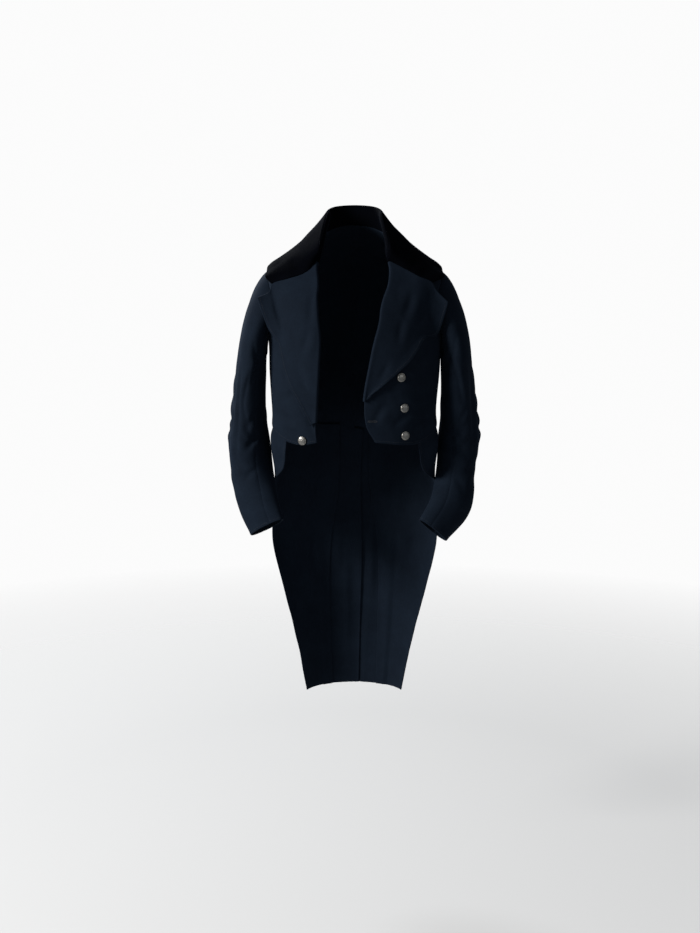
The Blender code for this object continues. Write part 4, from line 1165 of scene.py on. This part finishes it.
def add_thread(points, faces, middle, run, lead, length, radius):
    """One stitch that lies along run and bulges along lead, added to lists of points and faces."""
    wide = unit(np.cross(lead, run))
    faces.extend(ring_faces(len(points), len(STITCH_RINGS), STITCH_SIDES))
    for share, round_by in STITCH_RINGS:
        centre = middle + run * share * length + lead * radius * (STITCH_RISE - abs(share))
        for k in range(STITCH_SIDES):
            turn = 2 * math.pi * k / STITCH_SIDES
            spoke = wide * math.cos(turn) + lead * math.sin(turn)
            points.append(centre + spoke * radius * round_by)


def stitches(node, cloth_points, outward, borders):
    """A row of short stitches beside some borders of a node's cloth."""
    points = []
    faces = []
    for border in borders:
        line, leads = inside_line(cloth_points, outward, border)
        lengths = np.linalg.norm(np.diff(line, axis=0), axis=-1)
        far = np.concatenate([[0.0], np.cumsum(lengths)])
        for at in np.arange(STITCH_PITCH, far[-1] - STITCH_PITCH, STITCH_PITCH):
            here = at_distance(at, far, line)
            run = unit(at_distance(at + STITCH_LENGTH / 2, far, line) - here)
            lead = unit(at_distance(at, far, leads))
            add_thread(points, faces, here, run, lead, STITCH_LENGTH, STITCH_RADIUS)
    piece = add_mesh(f"stitches_{node}", points, faces, THREAD)
    settle(piece, None)
    return piece


# The worked buttonhole near the left front's edge: its place, its length and width, the length,
# radius and pitch of its stitches, and the directions of those that fan out at its ends
HOLE_X = 37 * MM
HOLE_Z = -390 * MM
HOLE_LENGTH = 17 * MM
HOLE_GAP = 0.5 * MM
HOLE_STITCH = 2.0 * MM
HOLE_STITCH_RADIUS = 0.36 * MM
HOLE_PITCH = 0.62 * MM
HOLE_FAN = (-60, -30, 0, 30, 60)


def buttonhole(name, front):
    """Close stitches all round a slit in the front, with their knots along the slit."""
    domain = place(HOLE_X, HOLE_Z)
    middle = cloth(domain)[0]
    across, up = upright(coat_normal(domain)[0])
    straight = HOLE_LENGTH - HOLE_GAP
    reach = HOLE_GAP / 2 + HOLE_STITCH / 2
    rim = []
    for number in range(round(straight / HOLE_PITCH) + 1):
        at = number * HOLE_PITCH - straight / 2
        rim.extend([(at, 90), (at, -90)])
    for end, leads_out in ((straight / 2, 0), (-straight / 2, 180)):
        rim.extend((end, leads_out + spread) for spread in HOLE_FAN)
    points = []
    faces = []
    for at, heading in rim:
        run = across * math.cos(math.radians(heading)) + up * math.sin(math.radians(heading))
        _, near, lead, _ = front.closest_point_on_mesh(Vector(middle + across * at + run * reach))
        lead = np.array(lead)
        run = unit(run - lead * np.dot(run, lead))
        add_thread(points, faces, np.array(near), run, lead, HOLE_STITCH, HOLE_STITCH_RADIUS)
    piece = add_mesh(name, points, faces, THREAD)
    settle(piece, None)
    return piece


# Finishes


def new_material(name):
    """A material, its shader, its nodes and its links."""
    made = bpy.data.materials.new(name)
    made.use_nodes = True
    nodes = made.node_tree.nodes
    return made, nodes["Principled BSDF"], nodes, made.node_tree.links


def noise(nodes, links, scale, detail=3.0, roughness=0.6):
    """Noise in the object's own space; scale is in features a metre."""
    spot = nodes.new("ShaderNodeTexCoord")
    texture = nodes.new("ShaderNodeTexNoise")
    texture.inputs["Scale"].default_value = scale
    texture.inputs["Detail"].default_value = detail
    texture.inputs["Roughness"].default_value = roughness
    links.new(spot.outputs["Object"], texture.inputs["Vector"])
    return texture.outputs["Fac"]


def ramp(nodes, links, value, stops):
    """Colours or greys between the stops of a value from 0 to 1."""
    made = nodes.new("ShaderNodeValToRGB")
    elements = made.color_ramp.elements
    elements[0].position, elements[0].color = stops[0]
    elements[1].position, elements[1].color = stops[-1]
    for position, colour in stops[1:-1]:
        elements.new(position).color = colour
    links.new(value, made.inputs["Fac"])
    return made.outputs["Color"]


def mixed(nodes, links, kind, share, first, second):
    """Two colours joined by a mix node."""
    made = nodes.new("ShaderNodeMix")
    made.data_type = "RGBA"
    made.blend_type = kind
    made.inputs["Factor"].default_value = share
    links.new(first, made.inputs[6])
    links.new(second, made.inputs[7])
    return made.outputs[2]


def bump(nodes, links, shader, heights):
    """Bump from a list of (height output, distance in metres, strength)."""
    normal = None
    for height, distance, strength in heights:
        made = nodes.new("ShaderNodeBump")
        made.inputs["Strength"].default_value = strength
        made.inputs["Distance"].default_value = distance
        links.new(height, made.inputs["Height"])
        if normal:
            links.new(normal, made.inputs["Normal"])
        normal = made.outputs["Normal"]
    links.new(normal, shader.inputs["Normal"])


def grey(level):
    """A grey with full alpha."""
    return (level, level, level, 1.0)


def wool_material():
    """Milled wool broadcloth: a felted surface with a short nap, faint cloudiness and some lint."""
    made, shader, nodes, links = new_material("wool")
    nap = noise(nodes, links, 1100, 2.0, 0.7)
    cloud = noise(nodes, links, 26, 4.0, 0.6)
    broad = noise(nodes, links, 5.5, 2.0, 0.5)
    dark = (0.0078, 0.0136, 0.0246, 1)
    pale = (0.0114, 0.0190, 0.0326, 1)
    base = ramp(nodes, links, cloud, [(0.30, dark), (0.72, pale)])
    fibres = ramp(nodes, links, nap, [(0.32, grey(0.62)), (0.70, grey(1.22))])
    worn = ramp(nodes, links, broad, [(0.36, grey(0.90)), (0.66, grey(1.08))])
    colour = mixed(nodes, links, "MULTIPLY", 1.0, base, fibres)
    colour = mixed(nodes, links, "MULTIPLY", 1.0, colour, worn)
    links.new(colour, shader.inputs["Base Color"])
    rough = ramp(nodes, links, cloud, [(0.3, grey(0.80)), (0.7, grey(0.92))])
    links.new(rough, shader.inputs["Roughness"])
    shader.inputs["Specular IOR Level"].default_value = 0.07
    shader.inputs["Sheen Weight"].default_value = 0.06
    shader.inputs["Sheen Roughness"].default_value = 0.45
    shader.inputs["Sheen Tint"].default_value = (0.35, 0.52, 0.85, 1)
    fine = noise(nodes, links, 420, 3.0, 0.7)
    bump(nodes, links, shader, [(fine, 0.0005, 0.30), (nap, 0.0002, 0.35)])
    return made


def velvet_material():
    """Silk velvet: very dark seen straight on, with a short pile that shades in streaks."""
    made, shader, nodes, links = new_material("velvet")
    pile = noise(nodes, links, 900, 2.0, 0.7)
    brushed = noise(nodes, links, 34, 5.0, 0.65)
    dark = (0.0007, 0.0010, 0.0022, 1)
    pale = (0.0016, 0.0021, 0.0040, 1)
    base = ramp(nodes, links, brushed, [(0.32, dark), (0.72, pale)])
    fibres = ramp(nodes, links, pile, [(0.30, grey(0.6)), (0.72, grey(1.3))])
    links.new(mixed(nodes, links, "MULTIPLY", 1.0, base, fibres), shader.inputs["Base Color"])
    rough = ramp(nodes, links, brushed, [(0.3, grey(0.84)), (0.7, grey(0.96))])
    links.new(rough, shader.inputs["Roughness"])
    shader.inputs["Specular IOR Level"].default_value = 0.02
    shader.inputs["Sheen Weight"].default_value = 0.035
    shader.inputs["Sheen Roughness"].default_value = 0.3
    shader.inputs["Sheen Tint"].default_value = (0.35, 0.48, 0.85, 1)
    bump(nodes, links, shader, [(brushed, 0.0008, 0.25), (pile, 0.0004, 0.5)])
    return made


def thread_material():
    """Dark silk sewing thread, a little glossier than the cloth."""
    made, shader, nodes, links = new_material("thread")
    strand = noise(nodes, links, 2600, 2.0, 0.6)
    dark = (0.010, 0.013, 0.020, 1)
    pale = (0.024, 0.030, 0.042, 1)
    tone = ramp(nodes, links, strand, [(0.35, dark), (0.68, pale)])
    links.new(tone, shader.inputs["Base Color"])
    rough = ramp(nodes, links, strand, [(0.35, grey(0.48)), (0.68, grey(0.62))])
    links.new(rough, shader.inputs["Roughness"])
    bump(nodes, links, shader, [(strand, 0.0001, 0.4)])
    return made


def metal_material():
    """Silvered metal, bright on its high places and tarnished brown-grey in its hollows."""
    made, shader, nodes, links = new_material("button_metal")
    tarnish = noise(nodes, links, 340, 5.0, 0.65)
    scratch = noise(nodes, links, 1500, 3.0, 0.7)
    hollow = nodes.new("ShaderNodeNewGeometry").outputs["Pointiness"]
    high = ramp(nodes, links, hollow, [(0.45, grey(0.26)), (0.53, grey(1.0))])
    dull = (0.40, 0.37, 0.32, 1)
    worn = (0.68, 0.66, 0.62, 1)
    bright = (0.86, 0.86, 0.85, 1)
    tone = ramp(nodes, links, tarnish, [(0.34, dull), (0.52, worn), (0.72, bright)])
    links.new(mixed(nodes, links, "MULTIPLY", 1.0, tone, high), shader.inputs["Base Color"])
    rough = ramp(nodes, links, tarnish, [(0.34, grey(0.46)), (0.70, grey(0.24))])
    links.new(rough, shader.inputs["Roughness"])
    shader.inputs["Metallic"].default_value = 1.0
    bump(nodes, links, shader, [(scratch, 0.0001, 0.15)])
    return made


WOOL = wool_material()
VELVET = velvet_material()
THREAD = thread_material()
METAL = metal_material()

# Cut of each piece as it lies flat, in metres: its width, its length and its area
Cut = namedtuple("Cut", "width length area")


def settle(piece, node):
    """The piece rides on the only body and stands for a node of the frame."""
    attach(piece, "root")
    if node:
        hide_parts(node)


def steps(first, last, count):
    return closer(np.linspace(first, last, count + 1))


# The body's pieces: the surface, its last row, the grid's steps across and down, and what each
# border is; a raw edge is stitched
Panel = namedtuple("Panel", "name surface last_row across down borders")
PANELS = [
    Panel("front", front_panel, FRONT_ROWS, 66, FRONT_ROWS * 7,
          {"top": "seam", "last": "seam", "bottom": "edge"}),
    Panel("side_body", side_panel, FRONT_ROWS_BELOW_ARM, 30, 72,
          {"top": "seam", "first": "seam", "last": "seam"}),
    Panel("back", back_panel, BACK_ROWS, 42, BACK_ROWS * 7,
          {"top": "seam", "first": "seam", "last": "seam", "bottom": "edge"}),
    Panel("skirt", skirt_panel, SKIRT_ROWS, 56, SKIRT_ROWS * 10,
          {"first": "edge", "bottom": "edge"}),
]
# Where the front's creases give way to those of the back
FRONT_CREASES_END = 0.01
FRONT_CREASES_BLEND = 0.05


def body_pieces(side_name):
    """Front, side body, back and tail of one side."""
    for panel in PANELS:
        columns = steps(0, 1, panel.across)
        rows = steps(0, panel.last_row, panel.down)
        points, outward = grid(panel.surface(side_name), columns, rows, PANEL_REACH)
        outward = turned_out(outward, points)
        seen = points[..., [0, 2]]
        in_front = ease((FRONT_CREASES_END - points[..., 1]) / FRONT_CREASES_BLEND)
        pressed = press(seen, FRONT_CREASES) * in_front + press(seen, BACK_CREASES) * (1 - in_front)
        lift = (uneven(points) - pressed) * away_from_armhole(points)
        points = points + outward * lift[..., None]
        points = sewn(points, outward, panel.borders)
        node = f"{panel.name}_{side_name}"
        piece = shell(f"cloth_{node}", points, outward, WOOL)
        settle(piece, node)
        raw = [border for border, kind in panel.borders.items() if kind == "edge"]
        if raw:
            stitches(node, points, outward, raw)
        if node == "front_left":
            buttonhole("buttonhole_front_left", piece)


# Steps of the turned-back pieces' grids: over the roll, over the fall and down the piece
LAPEL_GRID = (12, 42, 96)
COLLAR_GRID = (14, 38, 200)
# Their creases begin at this share of a distance from the roll, and are whole one distance later
CALM_START = 0.6
LAPEL_CALM = 14 * MM
COLLAR_CALM = 60 * MM


def turned_back(surface, last_column, rows, counts, reach):
    """Grid of a piece that is rolled over and lies on the coat, and the directions out of it."""
    roll, fall, down = counts
    over_roll = np.linspace(0, ROLL_STEPS, roll + 1)
    over_fall = np.linspace(ROLL_STEPS, last_column, fall + 1)
    columns = closer(np.concatenate([over_roll, over_fall[1:]]))
    return grid(surface, columns, steps(*rows, down), reach)


def softened(points, outward, creases, calm):
    """Points of a turned-back piece with its creases and its unevenness."""
    lying = ease(from_border(points, "first") / calm - CALM_START)
    pressed = press(points[..., [0, 2]], creases) * lying
    lift = TURNED_BACK_UNEVEN * uneven(points) * lying - pressed
    return points + outward * lift[..., None]


def lapel_piece(side_name):
    """The turned-back lapel of one side."""
    rows = (GORGE_ROW, BREAK_ROW[side_name])
    last_column = ROLL_STEPS + LAPEL_COLUMNS
    points, outward = turned_back(lapel(side_name), last_column, rows, LAPEL_GRID, LAPEL_REACH)
    outward = outward * SIDES[side_name]
    points = softened(points, outward, LAPEL_CREASES, LAPEL_CALM)
    points = sewn(points, outward, {"last": "edge", "top": "edge"})
    node = f"lapel_{side_name}"
    piece = shell(f"cloth_{node}", points, outward, WOOL)
    settle(piece, node)
    sewing = stitches(node, points, outward, ["last"])


# Steps of a sleeve half's grid: across and down
SLEEVE_ACROSS = 48
SLEEVE_DOWN = 168


def sleeve_pieces(side_name):
    """Upper and under half of one sleeve."""
    shares = steps(0, 1, SLEEVE_DOWN)
    allowance = armhole_allowance(side_name)
    halves = (("top_sleeve", HIND_SEAM, FORE_SEAM), ("under_sleeve", FORE_SEAM, HIND_SEAM + 360))
    for name, first, last in halves:
        turns = steps(first, last, SLEEVE_ACROSS)
        points, outward = grid(sleeve(side_name), turns, shares, SLEEVE_REACH)
        outward = outward * -SIDES[side_name]
        turn, share = np.meshgrid(turns, shares)
        pressed = np.zeros(turn.shape)
        for around in (-360, 0):
            flat = np.stack([(turn + around) * MM, share * SLEEVE_LENGTH * MM], -1)
            pressed += press(flat, SLEEVE_CREASES[side_name])
        lift = (SLEEVE_UNEVEN * uneven(points) - pressed) * away_from_armhole(points)
        points = points + outward * lift[..., None]
        points = sewn(points, outward, {"first": "seam", "last": "seam", "bottom": "edge"})
        node = f"{name}_{side_name}"
        piece = shell(f"cloth_{node}", points, outward, WOOL, gap=SLEEVE_SEAM_GAP / 2)
        settle(piece, node)
        sewing = [stitches(node, points, outward, ["bottom"])]
        if name == "top_sleeve":
            sewing.append(allowance)


ALLOWANCE_CLOTH = 1.4 * MM
ALLOWANCE_STEPS = 120
# Rows of the seam allowance: share of the armhole's size, and depth below the coat's outer face
ALLOWANCE_ROWS = [(0.985, -0.3), (0.975, 1.6), (0.985, 3.4), (1.02, 3.7), (1.10, 3.7), (1.15, 3.7)]


def armhole_allowance(side_name):
    """The sleeve's seam allowance, which turns in through the armhole and lies under the body."""
    side = SIDES[side_name]
    ring = armhole(np.linspace(0, 360, ALLOWANCE_STEPS + 1))
    middle = np.array([ARMHOLE_ANGLE, ARMHOLE_LEVEL])
    rows = []
    for share, depth in ALLOWANCE_ROWS:
        domain = middle + (ring - middle) * share
        rows.append(coat(domain) - coat_normal(domain) * depth * MM)
    points = np.array(rows) * np.array([side, 1, 1])
    outward = unit(np.cross(np.gradient(points, axis=0), np.gradient(points, axis=1))) * side
    piece = shell(f"allowance_{side_name}", points, outward, WOOL, ALLOWANCE_CLOTH, 0.0)
    settle(piece, None)
    return piece


def collar_piece():
    """The velvet collar, stand and fall in one."""
    points, outward = turned_back(collar, COLLAR_ACROSS, (-1, 1), COLLAR_GRID, COLLAR_REACH)
    outward = -outward
    points = softened(points, outward, COLLAR_CREASES, COLLAR_CALM)
    points = sewn(points, outward, {"last": "edge"})
    piece = shell("velvet_collar", points, outward, VELVET)
    settle(piece, "collar")


# The dome: share of the radius where it ends, its height there and how much it rises from there to
# the middle, as shares of its whole height
DOME_END = 0.86
DOME_FOOT = 0.52
DOME_RISE = 0.46
DOME_RINGS = 18
OUTER_DOME_RING = 0.845
# The plain rosette on it: a boss in the middle and petals round it
BOSS_SHARE = 0.24
PETALS = 8
PETAL_HEIGHT = 0.20 * MM
PETAL_END = 0.84
PETAL_POWER = 0.7
PETAL_LEVEL = 0.55
# Profile from the shank to the dome, as shares of the button's radius and of its height
BUTTON_SIDES = 72
ButtonRing = namedtuple("ButtonRing", "radius height")
BUTTON_PROFILE = [
    ButtonRing(0.20, -BUTTON_STANDS_OFF / BUTTON_DOME),
    ButtonRing(0.20, 0.0),
    ButtonRing(0.60, 0.01),
    ButtonRing(0.93, 0.05),
    ButtonRing(0.985, 0.12),
    ButtonRing(1.00, 0.22),
    ButtonRing(0.99, 0.33),
    ButtonRing(0.955, 0.40),
    ButtonRing(0.915, 0.38),
    ButtonRing(0.895, 0.42),
    ButtonRing(DOME_END, DOME_FOOT),
]


def button_height(share, turn):
    """Height of the dome with its plain rosette, at a share of the radius."""
    bulge = math.sqrt(max(1 - (share / DOME_END) ** 2, 0))
    dome = BUTTON_DOME * (DOME_FOOT + DOME_RISE * bulge)
    if share < BOSS_SHARE:
        return dome + PETAL_HEIGHT * math.sqrt(1 - (share / BOSS_SHARE) ** 2)
    spread = math.sin(math.pi * min((share - BOSS_SHARE) / (PETAL_END - BOSS_SHARE), 1))
    petal = abs(math.cos(PETALS / 2 * turn)) ** PETAL_POWER - PETAL_LEVEL
    return dome + PETAL_HEIGHT * spread * petal


def button_piece(spot):
    """A domed metal button with a rolled rim and a plain rosette, standing on its shank."""
    domain = place(spot.side * spot.x * MM, spot.z * MM, spot.behind)
    normal = coat_normal(domain)[0]
    across, up = upright(normal)
    seat = BUTTON_SEAT_BEHIND if spot.behind else SEAM_GAP
    base = cloth(domain)[0] + normal * (seat + BUTTON_STANDS_OFF)
    turns = [2 * math.pi * k / BUTTON_SIDES for k in range(BUTTON_SIDES)]
    rings = []
    for ring in BUTTON_PROFILE:
        rings.append((ring.radius, [ring.height * BUTTON_DOME] * BUTTON_SIDES))
    for k in range(DOME_RINGS):
        share = OUTER_DOME_RING * (1 - (k + 0.5) / DOME_RINGS)
        rings.append((share, [button_height(share, turn) for turn in turns]))
    points = []
    for radius, heights in rings:
        for turn, height in zip(turns, heights):
            spoke = across * math.cos(turn) + up * math.sin(turn)
            points.append(base + spoke * radius * BUTTON_RADIUS + normal * height)
    faces = ring_faces(0, len(rings), BUTTON_SIDES)
    piece = add_mesh(f"metal_{spot.name}", points, faces, METAL)
    settle(piece, spot.name)


# Camera: where it stands, how far it looks down, and the photograph's field of view
CAMERA_PLACE = (-0.0097, -2.8, -0.083)
CAMERA_DOWN = 8.5
PHOTO_HEIGHT = 933
FOCAL_PIXELS = 1302
SENSOR = 36.0


def add_camera():
    """The camera at the photograph's angle."""
    data = bpy.data.cameras.new("camera")
    data.sensor_width = SENSOR
    data.lens = FOCAL_PIXELS / PHOTO_HEIGHT * SENSOR
    made = bpy.data.objects.new("camera", data)
    made.location = CAMERA_PLACE
    made.rotation_euler = (math.radians(90 - CAMERA_DOWN), 0, 0)
    bpy.context.collection.objects.link(made)
    bpy.context.scene.camera = made


# Soft lights: where each stands, what it looks at, how large and how strong it is, and its colour
Light = namedtuple("Light", "name place target size power colour")
LIGHTS = [
    Light("key", (-3.0, -1.6, 0.8), (-0.1, 0, -0.35), 1.3, 112, (1.0, 0.985, 0.96)),
    Light("rim", (-1.4, 2.2, 1.5), (0, 0, -0.4), 1.4, 60, (0.94, 0.97, 1.0)),
    Light("fill", (1.9, -2.6, 0.4), (0.1, 0, -0.5), 2.0, 4, (0.96, 0.98, 1.0)),
]


def add_lights():
    """The studio's soft lights."""
    for light in LIGHTS:
        data = bpy.data.lights.new(light.name, "AREA")
        data.shape = "DISK"
        data.size = light.size
        data.energy = light.power
        data.color = light.colour
        made = bpy.data.objects.new(light.name, data)
        made.location = light.place
        looks = np.array(light.target) - np.array(light.place)
        flat = math.hypot(looks[0], looks[1])
        heading = math.atan2(looks[1], looks[0]) - math.pi / 2
        made.rotation_euler = (math.atan2(flat, -looks[2]), 0, heading)
        bpy.context.collection.objects.link(made)


# The backdrop: how strongly it lights the coat and in what tint, and how bright it is seen
BACKDROP_LIGHT = 0.11
BACKDROP_TINT = (0.9, 0.95, 1, 1)
BACKDROP_SEEN = 0.97


def add_world():
    """A pale backdrop that is seen bright and lights the coat only a little."""
    world = bpy.data.worlds.new("studio")
    world.use_nodes = True
    nodes = world.node_tree.nodes
    links = world.node_tree.links
    path = nodes.new("ShaderNodeLightPath")
    seen = nodes.new("ShaderNodeBackground")
    seen.inputs["Color"].default_value = (1, 1, 1, 1)
    seen.inputs["Strength"].default_value = BACKDROP_SEEN
    lit = nodes["Background"]
    lit.inputs["Color"].default_value = BACKDROP_TINT
    lit.inputs["Strength"].default_value = BACKDROP_LIGHT
    mix = nodes.new("ShaderNodeMixShader")
    links.new(path.outputs["Is Camera Ray"], mix.inputs[0])
    links.new(lit.outputs[0], mix.inputs[1])
    links.new(seen.outputs[0], mix.inputs[2])
    links.new(mix.outputs[0], nodes["World Output"].inputs["Surface"])
    bpy.context.scene.world = world
    bpy.context.scene.view_settings.view_transform = "Standard"


# The floor: its place, size and tint, and how it fades from its opacity to nothing
FLOOR_PLACE = (0, 0.3, -1.47)
FLOOR_RADIUS = 3.2
FLOOR_SIDES = 96
FLOOR_TINT = (0.86, 0.86, 0.86, 1)
FLOOR_OPACITY = 0.6
FADE_START = 0.9
FADE_END = 0.95 * FLOOR_RADIUS


def add_floor():
    """A plain pale floor that fades into the backdrop."""
    bpy.ops.mesh.primitive_circle_add(vertices=FLOOR_SIDES, radius=FLOOR_RADIUS, fill_type="NGON")
    floor = bpy.context.object
    floor.name = "floor"
    floor.location = FLOOR_PLACE
    made, shader, nodes, links = new_material("floor")
    shader.inputs["Base Color"].default_value = FLOOR_TINT
    shader.inputs["Roughness"].default_value = 0.9
    spot = nodes.new("ShaderNodeTexCoord")
    length = nodes.new("ShaderNodeVectorMath")
    length.operation = "LENGTH"
    fade = nodes.new("ShaderNodeMapRange")
    fade.inputs["From Min"].default_value = FADE_START
    fade.inputs["From Max"].default_value = FADE_END
    fade.inputs["To Min"].default_value = FLOOR_OPACITY
    fade.inputs["To Max"].default_value = 0.0
    links.new(spot.outputs["Object"], length.inputs[0])
    links.new(length.outputs["Value"], fade.inputs["Value"])
    links.new(fade.outputs["Result"], shader.inputs["Alpha"])
    floor.data.materials.append(made)


add_camera()
add_lights()
add_world()
add_floor()
for side_name in SIDES:
    body_pieces(side_name)
    lapel_piece(side_name)
    sleeve_pieces(side_name)
collar_piece()
for spot in BUTTONS:
    button_piece(spot)
